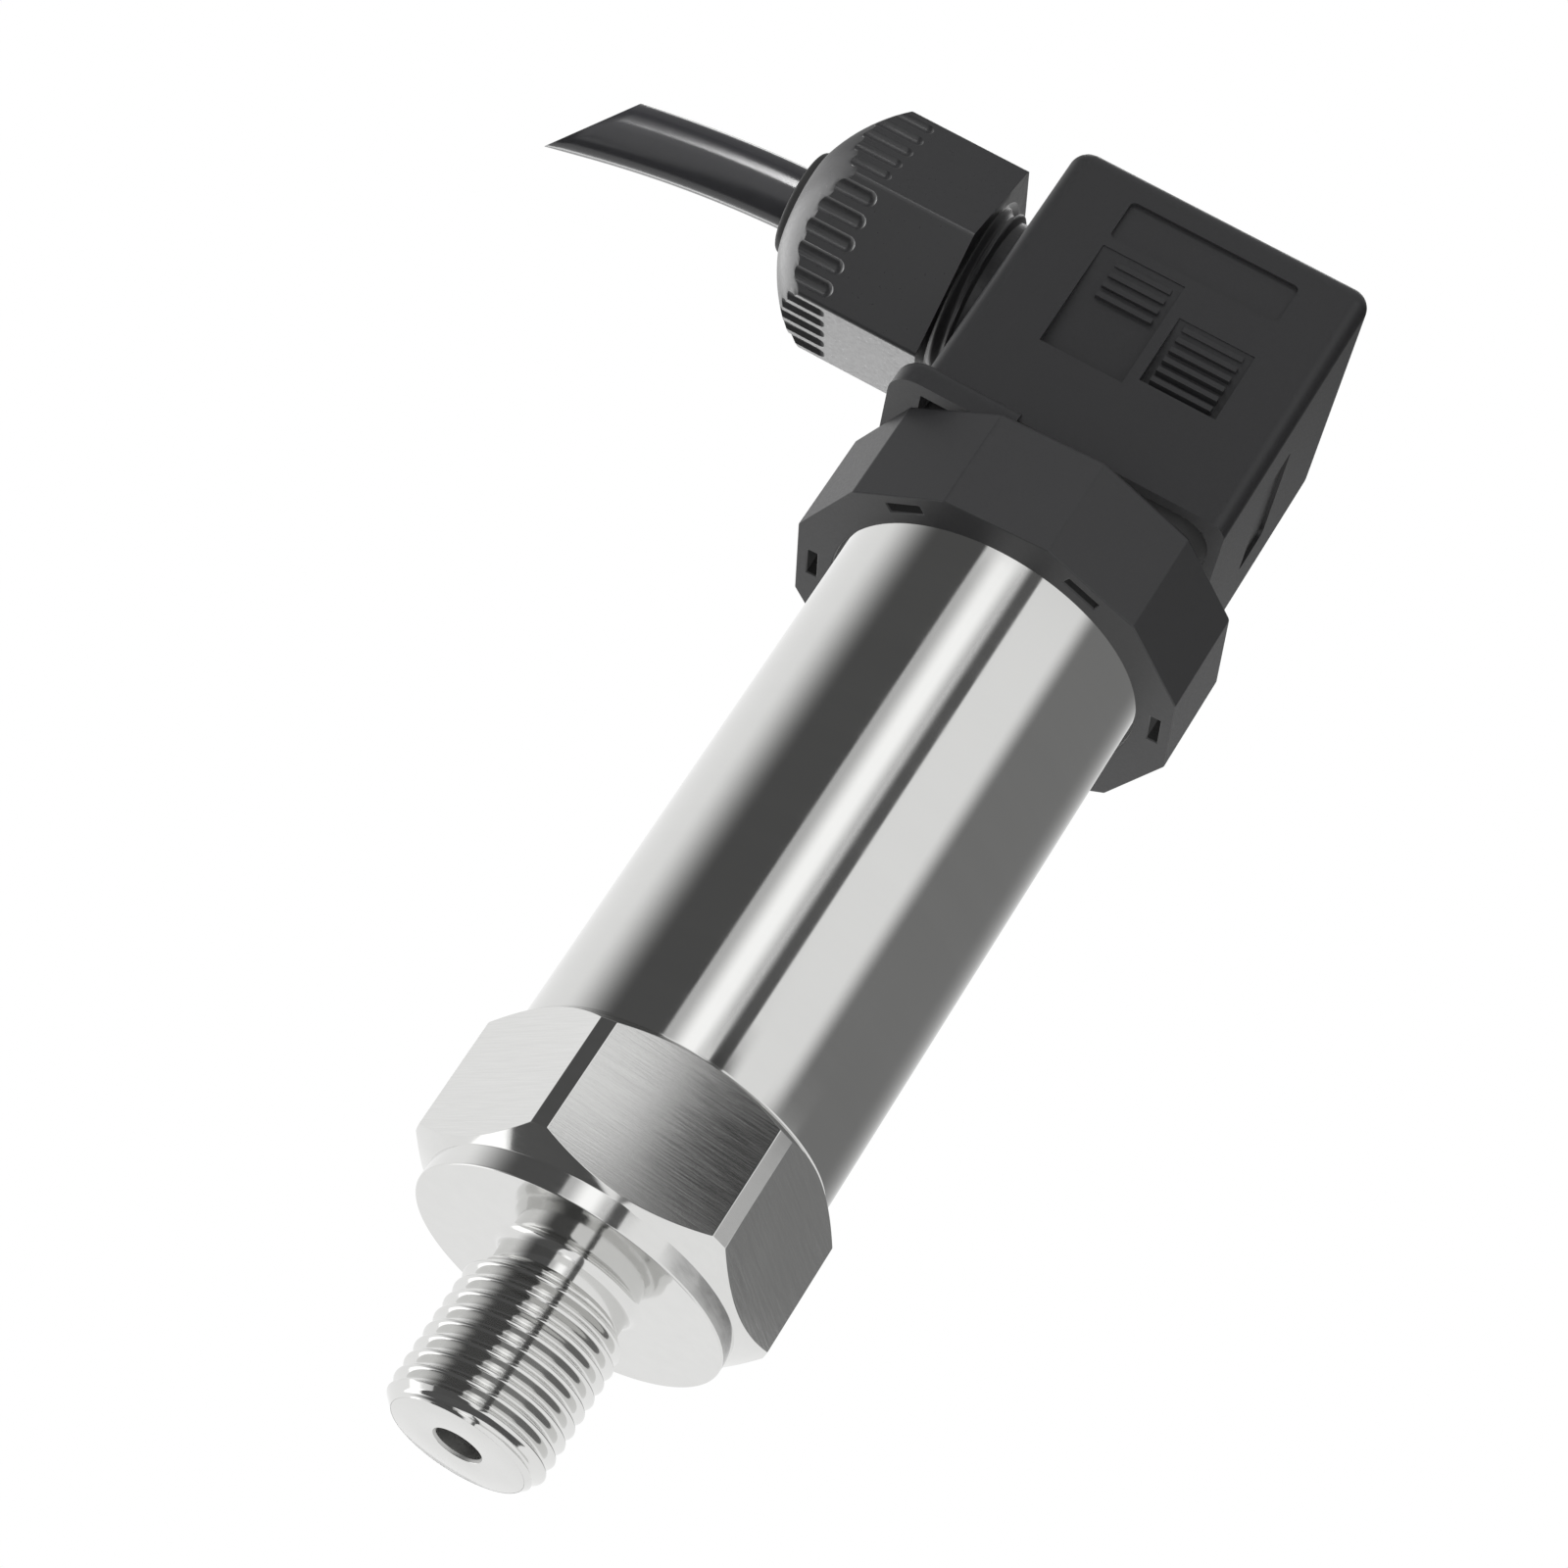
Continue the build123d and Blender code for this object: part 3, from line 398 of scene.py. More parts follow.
def end_tree(tree, geometry):
    """Close a tree with Realize Instances and Set Material."""
    real = tree.nodes.new("GeometryNodeRealizeInstances")
    paint = tree.nodes.new("GeometryNodeSetMaterial")
    given = tree.nodes["Group Input"].outputs
    tree.links.new(geometry, real.inputs[0])
    tree.links.new(real.outputs[0], paint.inputs["Geometry"])
    tree.links.new(given["Material"], paint.inputs["Material"])
    tree.links.new(paint.outputs[0], tree.nodes["Group Output"].inputs[0])


def grow(piece, tree, **values):
    """Run a tree on a piece with these inputs and keep the result as plain mesh."""
    modifier = piece.modifiers.new(tree.name, "NODES")
    modifier.node_group = tree
    names = {
        item.name.replace(" ", "_").lower(): item.identifier
        for item in tree.interface.items_tree
        if item.in_out == "INPUT"
    }
    for name, value in values.items():
        modifier[names[name]] = value
    return bake(piece)


# %% [markdown]
# A tree's inputs are its drawing dimensions. They have names, so the same tree can wind the
# steel process thread and the coarser plastic thread of the cable gland.

# %% The thread's tree
thread_tree = new_tree("helical_thread", [
    ("Columns", "Int", 180), ("Rows Per Turn", "Int", 20), ("Turns", "Int", 10),
    ("Pitch", "Float", 0.0013), ("Root Radius", "Float", 0.0057),
    ("Crest Radius", "Float", 0.0066), ("Rounding", "Float", 0.35),
    ("Low", "Float", 0.0), ("High", "Float", 0.01),
    ("Low Radius", "Float", 0.0055), ("High Radius", "Float", 0.0054),
    ("Low Slope", "Float", 1.0), ("High Slope", "Float", 1.0),
    ("Material", "Material", None),
])


def draw_thread_tree(tree):
    """Roll a grid into a thread: x of the grid is the turn, y climbs the profile."""
    given = tree.nodes["Group Input"].outputs
    grid = tree.nodes.new("GeometryNodeMeshGrid")
    rows = reckon(tree, "MULTIPLY", given["Rows Per Turn"], given["Turns"])
    feed(tree, grid.inputs["Vertices X"], reckon(tree, "ADD", given["Columns"], 1))
    feed(tree, grid.inputs["Vertices Y"], reckon(tree, "ADD", rows, 1))
    apart = tree.nodes.new("ShaderNodeSeparateXYZ")
    tree.links.new(tree.nodes.new("GeometryNodeInputPosition").outputs[0], apart.inputs[0])
    around = reckon(tree, "ADD", apart.outputs["X"], 0.5)
    turn = reckon(tree, "MULTIPLY", reckon(tree, "ADD", apart.outputs["Y"], 0.5), given["Turns"])
    climb = reckon(tree, "SUBTRACT", reckon(tree, "ADD", turn, around), 1)
    height = reckon(tree, "MULTIPLY_ADD", climb, given["Pitch"], given["Low"])
    height = reckon(tree, "MINIMUM", height, given["High"])
    height = reckon(tree, "MAXIMUM", height, given["Low"])
    phase = reckon(tree, "FRACT", turn)
    ramp = reckon(tree, "ABSOLUTE", reckon(tree, "MULTIPLY_ADD", phase, 2, -1))
    flank = reckon(tree, "MULTIPLY_ADD", ramp, 1.5, -0.25)
    crest = reckon(tree, "SMOOTH_MIN", flank, 1, given["Rounding"])
    shape = reckon(tree, "SMOOTH_MAX", crest, 0, given["Rounding"])
    depth = reckon(tree, "SUBTRACT", given["Crest Radius"], given["Root Radius"])
    radius = reckon(tree, "MULTIPLY_ADD", shape, depth, given["Root Radius"])
    from_low = reckon(tree, "SUBTRACT", height, given["Low"])
    low_cone = reckon(tree, "MULTIPLY_ADD", from_low, given["Low Slope"], given["Low Radius"])
    to_high = reckon(tree, "SUBTRACT", given["High"], height)
    high_cone = reckon(tree, "MULTIPLY_ADD", to_high, given["High Slope"], given["High Radius"])
    radius = reckon(tree, "MINIMUM", radius, reckon(tree, "MINIMUM", low_cone, high_cone))
    angle = reckon(tree, "MULTIPLY", around, 2 * pi)
    point = tree.nodes.new("ShaderNodeCombineXYZ")
    feed(tree, point.inputs["X"], reckon(tree, "MULTIPLY", radius, reckon(tree, "COSINE", angle)))
    feed(tree, point.inputs["Y"], reckon(tree, "MULTIPLY", radius, reckon(tree, "SINE", angle)))
    feed(tree, point.inputs["Z"], height)
    move = tree.nodes.new("GeometryNodeSetPosition")
    tree.links.new(grid.outputs["Mesh"], move.inputs["Geometry"])
    tree.links.new(point.outputs[0], move.inputs["Position"])
    merge = tree.nodes.new("GeometryNodeMergeByDistance")
    merge.inputs["Distance"].default_value = 0.002 * MM
    tree.links.new(move.outputs[0], merge.inputs["Geometry"])
    end_tree(tree, merge.outputs[0])


draw_thread_tree(thread_tree)
print("thread tree has", len(thread_tree.nodes), "nodes")

# %% [markdown]
# The port is one turned and milled piece. A lathe profile gives the bored spigot, the
# waisted neck, the round flange and the cones of the hexagon's two chamfers. It is then
# intersected with a six-sided prism: where a plane cuts a cone it leaves the curved edge
# that every real nut shows. Modelling those curves by hand would be slower and less true.
# The thread is a mesh of its own that sits where the outline steps in below the neck.

# %% Pressure port
thread_mount = next(m for m in frame["record"]["mounts"] if m["name"] == "process_thread")
thread_radius = thread_mount["dims"]["r_mm"]
thread_pitch = 1.337
thread_root = 5.7225
tip_radius = thread_radius - 1.0
neck_radius = 5.4
thread_end = -2.1
core_radius = 5.2
flange_radius = 13.0
flange_height = 1.8
hex_flats = 27.0
hex_corner = 15.2
hex_cone = tan(radians(36))
hex_first_corner = 9.5
tube_foot = tube_low[2]
spigot_radius = tube_high[0] - 1.25
tip = port_low[2]
spigot_top = port_high[2]

spigot_bore = 10.65
bore_floor = 15.0
cell_seat = 9.55
cell_floor = 4.0
oil_recess = 8.0
recess_floor = 3.2
drilling = 1.9
tube_seat = 13.45

port = lathe("port", [
    (drilling, tip + 0.2), (drilling + 0.2, tip), (tip_radius, tip), (core_radius, tip + 0.35),
    (core_radius, thread_end - 0.2), (neck_radius, thread_end),
    (neck_radius, 0, 0.9), (flange_radius, 0, 0.15), (flange_radius, flange_height, 0.12),
    (hex_corner, flange_height + (hex_corner - flange_radius) * hex_cone, 0.1),
    (hex_corner, tube_foot - (hex_corner - tube_seat) * hex_cone, 0.1),
    (tube_seat, tube_foot, 0.08), (spigot_radius, tube_foot),
    (spigot_radius, spigot_top, 0.2), (spigot_bore, spigot_top), (spigot_bore, bore_floor),
    (cell_seat, bore_floor), (cell_seat, cell_floor), (oil_recess, cell_floor),
    (oil_recess, recess_floor), (drilling, recess_floor),
])
flats_top = 25
flats_corner = hex_flats / 2 / cos(radians(30))
flats = prism("flats", flats_corner, 6, hex_first_corner, tip - 3, flats_top)
carve(port, flats, "INTERSECT")
soften(port, 0.1, above=24)
print("port faces:", len(port.data.polygons))

# %% [markdown]
# The thread is wound next. Its numbers are those of a pipe thread, whose crest radius comes
# from the frame's own record of the mount.

# %% Process thread
port_thread = lathe("port_thread", [(1, 0), (2, 0), (2, 1), (1, 1)], segments=3)
grow(
    port_thread, thread_tree, columns=180, rows_per_turn=24, turns=11,
    pitch=thread_pitch * MM, root_radius=thread_root * MM, crest_radius=thread_radius * MM,
    rounding=0.35, low=tip * MM, high=thread_end * MM, low_radius=tip_radius * MM,
    high_radius=neck_radius * MM, low_slope=1.0, high_slope=0.9, material=thread_steel,
)
smooth(port_thread, 60)
print("thread faces:", len(port_thread.data.polygons))

# %% [markdown]
# One piece can show three finishes: turned where the lathe cut it, milled with straight
# lines on the hexagon's flats, and dull in the drilled bore. Material slots do this, and a
# face's place and area tell which slot it gets.

# %% The port's finishes
port.data.materials.append(turned_steel)
port.data.materials.append(milled_steel)
port.data.materials.append(drilled_steel)
flat_area = 20 * MM**2
flat_out = 13.2
for face in port.data.polygons:
    out = hypot(face.center.x, face.center.y) / MM
    if face.area > flat_area and abs(face.normal.z) < 0.01 and out > flat_out:
        face.material_index = 1
    if out < drilling + 0.1 and face.normal.z < 0.5:
        face.material_index = 2
for piece in (port, port_thread):
    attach(piece, "transmitter")
    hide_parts("pressure_port")
print("port finishes:", [material.name for material in port.data.materials])

# %% [markdown]
# The housing is a plain length of polished tube, pressed over the port's spigot. A lathe
# with many segments keeps its long reflections straight and clean, and weighted normals
# keep them from bending where the wall meets the rounded ends.

# %% Housing tube
tube_radius = tube_high[0]
tube_inner = tube_radius - 1.2
tube = lathe("tube", [
    (tube_inner, tube_low[2]), (tube_radius, tube_low[2], 0.25),
    (tube_radius, tube_high[2], 0.1), (tube_inner, tube_high[2]),
], segments=256)
level_flats(smooth(tube))
tube.data.materials.append(polished_tube)
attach(tube, "transmitter")
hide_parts("housing_tube")
print("tube faces:", len(tube.data.polygons))

# %% [markdown]
# The collar is a twelve-sided moulding with small slots in its underside. The CAD solid has
# its true shape, so it is copied, its triangles are merged back into whole faces, and a
# narrow bevel breaks its edges, as the mould's own small radii do. Little light gets into
# the deep slots, so their walls get painted shade: a near-black, matt material.

# %% Collar
collar = copy_node("collar", "collar_moulding")
soften(collar, 0.16, above=20, segments=3)
collar.data.materials.append(black_moulding)
collar.data.materials.append(slot_shade)
slot_near = 14.8
slot_far = 16.0
slot_depth = 3.1
slot_rim = 0.3
collar_foot = min(
    vertex.co.z / MM for vertex in collar.data.vertices
    if hypot(vertex.co.x, vertex.co.y) / MM > slot_near
)
# Slot walls between these radii, above the rim and below the slot's depth, get the painted shade.
for face in collar.data.polygons:
    out = hypot(face.center.x, face.center.y) / MM
    above_foot = face.center.z / MM - collar_foot
    if slot_near < out < slot_far and slot_rim < above_foot < slot_depth:
        face.material_index = 1
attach(collar, "transmitter")
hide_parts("collar")
collar.visible_glossy = False
print("collar faces:", len(collar.data.polygons))

# %% [markdown]
# The gland's pieces are turned about the cable's axis, which runs along X at the height of
# the nut's middle. One matrix lays the lathe's Z axis along X, so their outlines are
# written as (radius, place along X).

# %% The gland's axis
gland_height = (nut_low[2] + nut_high[2]) / 2
lie_along_x = Matrix(((0, 0, 1, 0), (1, 0, 0, 0), (0, 1, 0, 0), (0, 0, 0, 1)))
gland_place = Matrix.Translation((0, 0, gland_height)) @ lie_along_x
gland_place_metres = Matrix.Translation((0, 0, gland_height * MM)) @ lie_along_x
print("gland axis at", round(gland_height, 2), "mm")

# %% [markdown]
# The plug's shell comes from the CAD solid too. Its gland neck is first turned down by a
# ring-shaped cutter, and a small fillet is joined on where the neck meets the wall. The
# same thread tree then winds a coarser thread, of which a few ridges show beside the nut.

# %% Plug housing
neck_left = plug_low[0]
neck_right = -15.6
relief_radius = 6.9
neck_crest = 7.5
neck_root = 7.0
plug = copy_node("plug_housing", "plug_shell")
cutter_radius = 12
turn_down = lathe("turn_down", [
    (neck_root, neck_left - 1), (cutter_radius, neck_left - 1), (cutter_radius, neck_right),
    (neck_root, neck_right),
], gland_place, segments=120)
carve(plug, turn_down, "DIFFERENCE")
plug_wall_x = -13.45
fillet_radius = 0.9
neck_fillet = [(relief_radius - 0.4, plug_wall_x - fillet_radius)]
for step in range(7):
    turn = radians(15 * step)
    out = relief_radius + fillet_radius * (1 - cos(turn))
    neck_fillet.append((out, plug_wall_x - fillet_radius * (1 - sin(turn))))
neck_fillet += [
    (relief_radius + fillet_radius, plug_wall_x + 0.5),
    (relief_radius - 0.4, plug_wall_x + 0.5),
]
carve(plug, lathe("neck_fillet", neck_fillet, gland_place, segments=120), "UNION")
soften(plug, 0.2, above=28, segments=3)
plug.data.materials.append(black_moulding)
plug_thread = lathe("plug_thread", [(1, 0), (2, 0), (2, 1), (1, 1)], segments=3)
grow(
    plug_thread, thread_tree, columns=150, rows_per_turn=14, turns=9, pitch=1.25 * MM,
    root_radius=neck_root * MM, crest_radius=neck_crest * MM, rounding=0.45,
    low=neck_left * MM, high=neck_right * MM, low_radius=(neck_root - 0.2) * MM,
    high_radius=relief_radius * MM, low_slope=1.0, high_slope=2.0, material=black_moulding,
)
plug_thread.data.transform(gland_place_metres)
smooth(plug_thread, 60)
for piece in (plug, plug_thread):
    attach(piece, "connector")
    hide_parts("plug_housing")
print("plug faces:", len(plug.data.polygons))

# %% [markdown]
# The gland nut is a hexagon with a domed nose. Each of its six faces has a row of short
# round grooves for the fingers. An array modifier could repeat a cutter along one face, but
# not round the six, so a tree places one rounded cutter five times along a face and turns
# that row to all six faces.

# %% The grip cutter's tree
grip_tree = new_tree("grip_cutters", [
    ("Per Face", "Int", 5), ("Spacing", "Float", 0.002), ("Face Distance", "Float", 0.0095),
    ("First Turn", "Float", 0.0), ("Material", "Material", None),
])


def draw_grip_tree(tree):
    """Repeat the given cutter along one face and then round the six faces."""
    given = tree.nodes["Group Input"].outputs
    row = tree.nodes.new("GeometryNodeMeshLine")
    feed(tree, row.inputs["Count"], given["Per Face"])
    step = tree.nodes.new("ShaderNodeCombineXYZ")
    feed(tree, step.inputs["Y"], given["Spacing"])
    feed(tree, row.inputs["Offset"], step.outputs[0])
    start = tree.nodes.new("ShaderNodeCombineXYZ")
    feed(tree, start.inputs["X"], given["Face Distance"])
    half = reckon(tree, "MULTIPLY", reckon(tree, "SUBTRACT", given["Per Face"], 1), -0.5)
    feed(tree, start.inputs["Y"], reckon(tree, "MULTIPLY", half, given["Spacing"]))
    feed(tree, row.inputs["Start Location"], start.outputs[0])
    one_face = tree.nodes.new("GeometryNodeInstanceOnPoints")
    tree.links.new(row.outputs[0], one_face.inputs["Points"])
    tree.links.new(given["Geometry"], one_face.inputs["Instance"])
    sides = tree.nodes.new("GeometryNodeMeshLine")
    sides.inputs["Count"].default_value = 6
    sides.inputs["Offset"].default_value = (0, 0, 0)
    all_faces = tree.nodes.new("GeometryNodeInstanceOnPoints")
    tree.links.new(sides.outputs[0], all_faces.inputs["Points"])
    tree.links.new(one_face.outputs[0], all_faces.inputs["Instance"])
    index = tree.nodes.new("GeometryNodeInputIndex")
    turned = reckon(tree, "MULTIPLY_ADD", index.outputs[0], pi / 3, given["First Turn"])
    spin = tree.nodes.new("ShaderNodeCombineXYZ")
    feed(tree, spin.inputs["Z"], turned)
    tree.links.new(spin.outputs[0], all_faces.inputs["Rotation"])
    end_tree(tree, all_faces.outputs[0])


draw_grip_tree(grip_tree)
print("grip tree has", len(grip_tree.nodes), "nodes")

# %% [markdown]
# The nut is turned and then cut to a hexagon, as the port was. The prism's long edges are
# rounded before the cut, since a bevel after it would be held back by the tiny edges that
# the dome leaves. A boolean then takes all thirty grooves out in one go.

# %% Gland nut
nut_left = nut_low[0]
nut_right = nut_high[0]
nut_flats = 19.0
nut_corner = nut_flats / 2 / cos(radians(30))
nut_first_corner = 180 - 47.6
hex_left = nut_right - 10.6
nose_radius = 5.4
nose_hole = 4.95
thread_bore = 7.6
dome_radius = 15.0
bore_end = nut_left + 4.3


def dome_outline():
    """The dome's arc from the nose to the hexagon, as (radius, place) corners."""
    start = Vector((nose_radius, nut_left))
    end = Vector((nut_corner + 0.2, hex_left))
    middle = (start + end) / 2
    chord = end - start
    drop = (dome_radius**2 - (chord.length / 2) ** 2) ** 0.5
    centre = middle + Vector((-chord.y, chord.x)).normalized() * drop
    points = []
    for step in range(13):
        point = start.lerp(end, step / 12) - centre
        points.append(tuple(centre + point.normalized() * dome_radius))
    return points


nut = lathe("nut", [
    (nose_hole, bore_end), (nose_hole, nut_left, 0.15), *dome_outline(),
    (nut_corner + 0.2, nut_right), (thread_bore + 0.5, nut_right),
    (thread_bore, nut_right - 0.5), (thread_bore, bore_end),
], gland_place)
nut_faces = prism(
    "nut_faces", nut_corner, 6, nut_first_corner, nut_left - 1, nut_right + 1, gland_place
)
soften(nut_faces, 0.3, above=40, segments=4)
carve(nut, nut_faces, "INTERSECT")
groove_radius = 0.81
groove_offset = 0.36
groove_start = hex_left + 2.3
capsule = [(0, groove_start)]
for step in range(1, 7):
    lift = radians(15 * step)
    capsule.append((groove_radius * sin(lift), groove_start - groove_radius * (1 - cos(lift))))
capsule += [(groove_radius, nut_left - 2), (0, nut_left - 2)]
grips = lathe("grips", capsule, segments=20)
grow(
    grips, grip_tree, per_face=5, spacing=2.04 * MM, material=black_gland,
    first_turn=radians(nut_first_corner + 30),
    face_distance=(nut_flats / 2 + groove_offset) * MM,
)
grips.data.transform(gland_place_metres)
carve(nut, grips, "DIFFERENCE")
soften(nut, 0.12, above=30, segments=2)
nut.data.materials.clear()
nut.data.materials.append(black_gland)
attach(nut, "gland_nut_body")
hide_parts("gland_nut")
print("nut faces:", len(nut.data.polygons))

# %% [markdown]
# The rubber grommet grips the cable inside the nut, and only its rounded lip shows round
# the cable at the nose. The lip's mouth widens, so the cable can bend as it leaves.

# %% Gland grommet
lip_left = grommet_low[0]
lip_radius = 4.65
lip_depth = 3.9
cable_radius = 2.8
tail_radius = 4.3
cone_radius = 5.4
flange_out = 7.3
flange_left = -26.2
flange_right = -25.2
grommet = lathe("grommet", [
    (cable_radius, grommet_high[0]), (tail_radius, grommet_high[0], 0.2),
    (cone_radius, flange_right), (flange_out, flange_right, 0.2), (flange_out, flange_left),
    (lip_radius, flange_left), (lip_radius, lip_left, 0.5),
    (cable_radius + 0.3, lip_left, 0.3), (cable_radius, lip_left + lip_depth),
], gland_place, segments=120)
smooth(grommet)
grommet.data.materials.append(black_rubber)
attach(grommet, "connector")
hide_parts("gland_grommet")
print("grommet faces:", len(grommet.data.polygons))

# %% [markdown]
# The cable droops a little and was cut off aslant close to the gland. A curve with a bevel
# and a boolean would also make it, but would leave uneven faces along the cut that crinkle
# the long highlight. So each line of its outer and inner wall is laid out on its own, from
# the plug to the point where it meets the slanting plane of the cut.

# %% Cable
cable_end = box_mm("cable_sheath")[1][0]
cable_bore = 1.75
bend_radius = 87.0
bend_end = radians(15)
bend_from = lip_left + lip_depth
stub_length = 18.4
cut_across = lip_left - stub_length
cut_middle = Vector(
    (cut_across, 0, gland_height - (bend_from - cut_across) ** 2 / (2 * bend_radius))
)
cut_lean = radians(23.7)
cut_turn = radians(34.8)
cut_normal = Vector(
    (cos(cut_lean) * cos(cut_turn), cos(cut_lean) * sin(cut_turn), -sin(cut_lean))
)


def cable_point(reach, turn, radius):
    """A point on the cable's wall, some way past the place where its bend starts."""
    bend = min(max(reach, 0) / bend_radius, bend_end)
    rest = reach - bend * bend_radius
    centre = Vector((
        bend_from - bend_radius * sin(bend), 0, gland_height - bend_radius * (1 - cos(bend))
    ))
    along = Vector((-cos(bend), 0, -sin(bend)))
    up = Vector((-sin(bend), 0, cos(bend)))
    side = Vector((0, 1, 0))
    return centre + along * rest + side * radius * cos(turn) + up * radius * sin(turn)


def reach_to_cut(turn, radius):
    """How far the wall runs at this turn before it meets the slanting cut."""
    near = 0
    far = 40
    for _ in range(30):
        middle = (near + far) / 2
        if (cable_point(middle, turn, radius) - cut_middle).dot(cut_normal) > 0:
            near = middle
        else:
            far = middle
    return near


print("cable runs on for", round(reach_to_cut(0, 0), 2), "mm past the start of its bend")

# %% [markdown]
# The lines are now stitched into two walls and two rings of end faces, which close the
# sheath. Its jacket is glossy, and a strip of light will run along it.

# %% The cable's mesh
cable_mesh = bmesh.new()
cable_sides = 96
cable_rings = 40
cable_start = bend_from - cable_end
walls = []
for radius in (cable_radius, cable_bore):
    lines = []
    for side in range(cable_sides):
        turn = 2 * pi * side / cable_sides
        run = reach_to_cut(turn, radius) - cable_start
        lines.append([
            cable_mesh.verts.new(
                cable_point(cable_start + run * ring / cable_rings, turn, radius)
            )
            for ring in range(cable_rings + 1)
        ])
    walls.append(lines)
for side in range(cable_sides):
    after = (side + 1) % cable_sides
    for lines in walls:
        for ring in range(cable_rings):
            cable_mesh.faces.new((
                lines[side][ring], lines[after][ring],
                lines[after][ring + 1], lines[side][ring + 1],
            ))
    for ring in (0, cable_rings):
        cable_mesh.faces.new((
            walls[0][side][ring], walls[0][after][ring],
            walls[1][after][ring], walls[1][side][ring],
        ))
cable = new_piece("cable_jacket_cut", cable_mesh)
soften(cable, 0.08, above=40)
cable.data.materials.append(cable_jacket)
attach(cable, "connector")
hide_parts("cable_sheath")
print("cable faces:", len(cable.data.polygons))

# %% [markdown]
# The pieces inside keep their CAD meshes and only get finishes: green lacquer on the board,
# brass and tinned contacts, blue trimmers and brown insulation on the cable's cores. They
# are kept out of mirror images, because the polished tube would else show the cable's cut
# end in a place where no one would expect it.

# %% Finishes for the pieces inside
board_green = finish(
    "board_green", (0.02, 0.13, 0.06), rough=(0.25, 0.35), size=1.5, bump=0.05, tint=0.25
)
chip_black = finish("chip_black", (0.03, 0.03, 0.03), rough=(0.45, 0.55), size=0.3, tint=0.1)
pot_blue = finish("pot_blue", (0.04, 0.14, 0.4), rough=(0.3, 0.4), size=0.5, tint=0.08)
core_brown = finish(
    "core_colours", (0.2, 0.09, 0.04), rough=(0.32, 0.42), size=0.6, tint=0.1
)
foil = finish("foil", (0.66, 0.66, 0.65), metallic=1.0, rough=(0.2, 0.3), size=1.0, tint=0.03)

inside = {
    "sensor_cell": ceramic, "cell_diaphragm": foil, "cell_o_ring": black_rubber,
    "cell_pins": tinned, "retaining_ring": turned_steel, "board_holder": grey_insulator,
    "amplifier_board": board_green, "board_chips": chip_black, "trim_pots": pot_blue,
    "collar_o_ring": black_rubber, "contact_base": grey_insulator, "line_blades": tinned,
    "earth_blade": tinned, "screw_insert": brass, "flat_gasket": black_rubber,
    "terminal_block": grey_insulator, "terminal_clamps": brass, "clamp_screws": tinned,
    "fixing_screw": tinned, "screw_washer": black_rubber, "slip_ring": grey_insulator,
    "cable_cores": core_brown,
}
for name, material in inside.items():
    nodes[name].visible_glossy = False
    for slot in nodes[name].material_slots:
        slot.material = material
print("dressed inner nodes:", len(inside))

# %% [markdown]
# The studio. The camera stands below the transmitter and is rolled, as in the photograph,
# so a pale floor under the tip would hide the object. The floor therefore has one side:
# seen from above it is pale and takes the shadow, seen from below it is clear. Further out
# it fades into the white around it, so that no view shows a hard horizon.

# %% Floor
floor_mesh = bmesh.new()
bmesh.ops.create_grid(floor_mesh, x_segments=1, y_segments=1, size=1500)
floor_gap = 0.2
floor = new_piece("floor", floor_mesh, Matrix.Translation((0, 0, tip - floor_gap)))
floor_finish = bpy.data.materials.new("pale_floor")
floor_finish.use_nodes = True
tree = floor_finish.node_tree
pale = tree.nodes["Principled BSDF"]
pale.inputs["Base Color"].default_value = (0.86, 0.86, 0.86, 1)
pale.inputs["Roughness"].default_value = 0.9
clear = tree.nodes.new("ShaderNodeBsdfTransparent")
side = tree.nodes.new("ShaderNodeNewGeometry")
choose = tree.nodes.new("ShaderNodeMixShader")
spot = tree.nodes.new("ShaderNodeTexCoord")
distance = tree.nodes.new("ShaderNodeVectorMath")
distance.operation = "LENGTH"
tree.links.new(spot.outputs["Object"], distance.inputs[0])
fade = tree.nodes.new("ShaderNodeMapRange")
fade.interpolation_type = "SMOOTHSTEP"
fade.inputs["From Min"].default_value = 200 * MM
fade.inputs["From Max"].default_value = 750 * MM
tree.links.new(distance.outputs["Value"], fade.inputs["Value"])
unseen = reckon(tree, "MAXIMUM", side.outputs["Backfacing"], fade.outputs["Result"])
tree.links.new(unseen, choose.inputs["Fac"])
tree.links.new(pale.outputs[0], choose.inputs[1])
tree.links.new(clear.outputs[0], choose.inputs[2])
tree.links.new(choose.outputs[0], tree.nodes["Material Output"].inputs["Surface"])
floor.data.materials.append(floor_finish)
floor.visible_shadow = False
floor.visible_glossy = False
print("floor at", tip, "mm")

# %% [markdown]
# Polished metal shows its surroundings, so a photographer stands dark and bright cards
# round a steel tube to draw its shape. These cards are curved sheets round the object's
# axis, at a height where the camera finds their mirror image. Only reflections see them.
# Each fades at its edges where the photograph's bands do. Wide dark cards draw the tube's
# bands, small ones shade single faces of the hexagon, and two below shade its chamfer.

# %% Cards
camera_place = Vector((51.85, -311.31, -121.18))
camera_side = atan2(camera_place.y, camera_place.x)


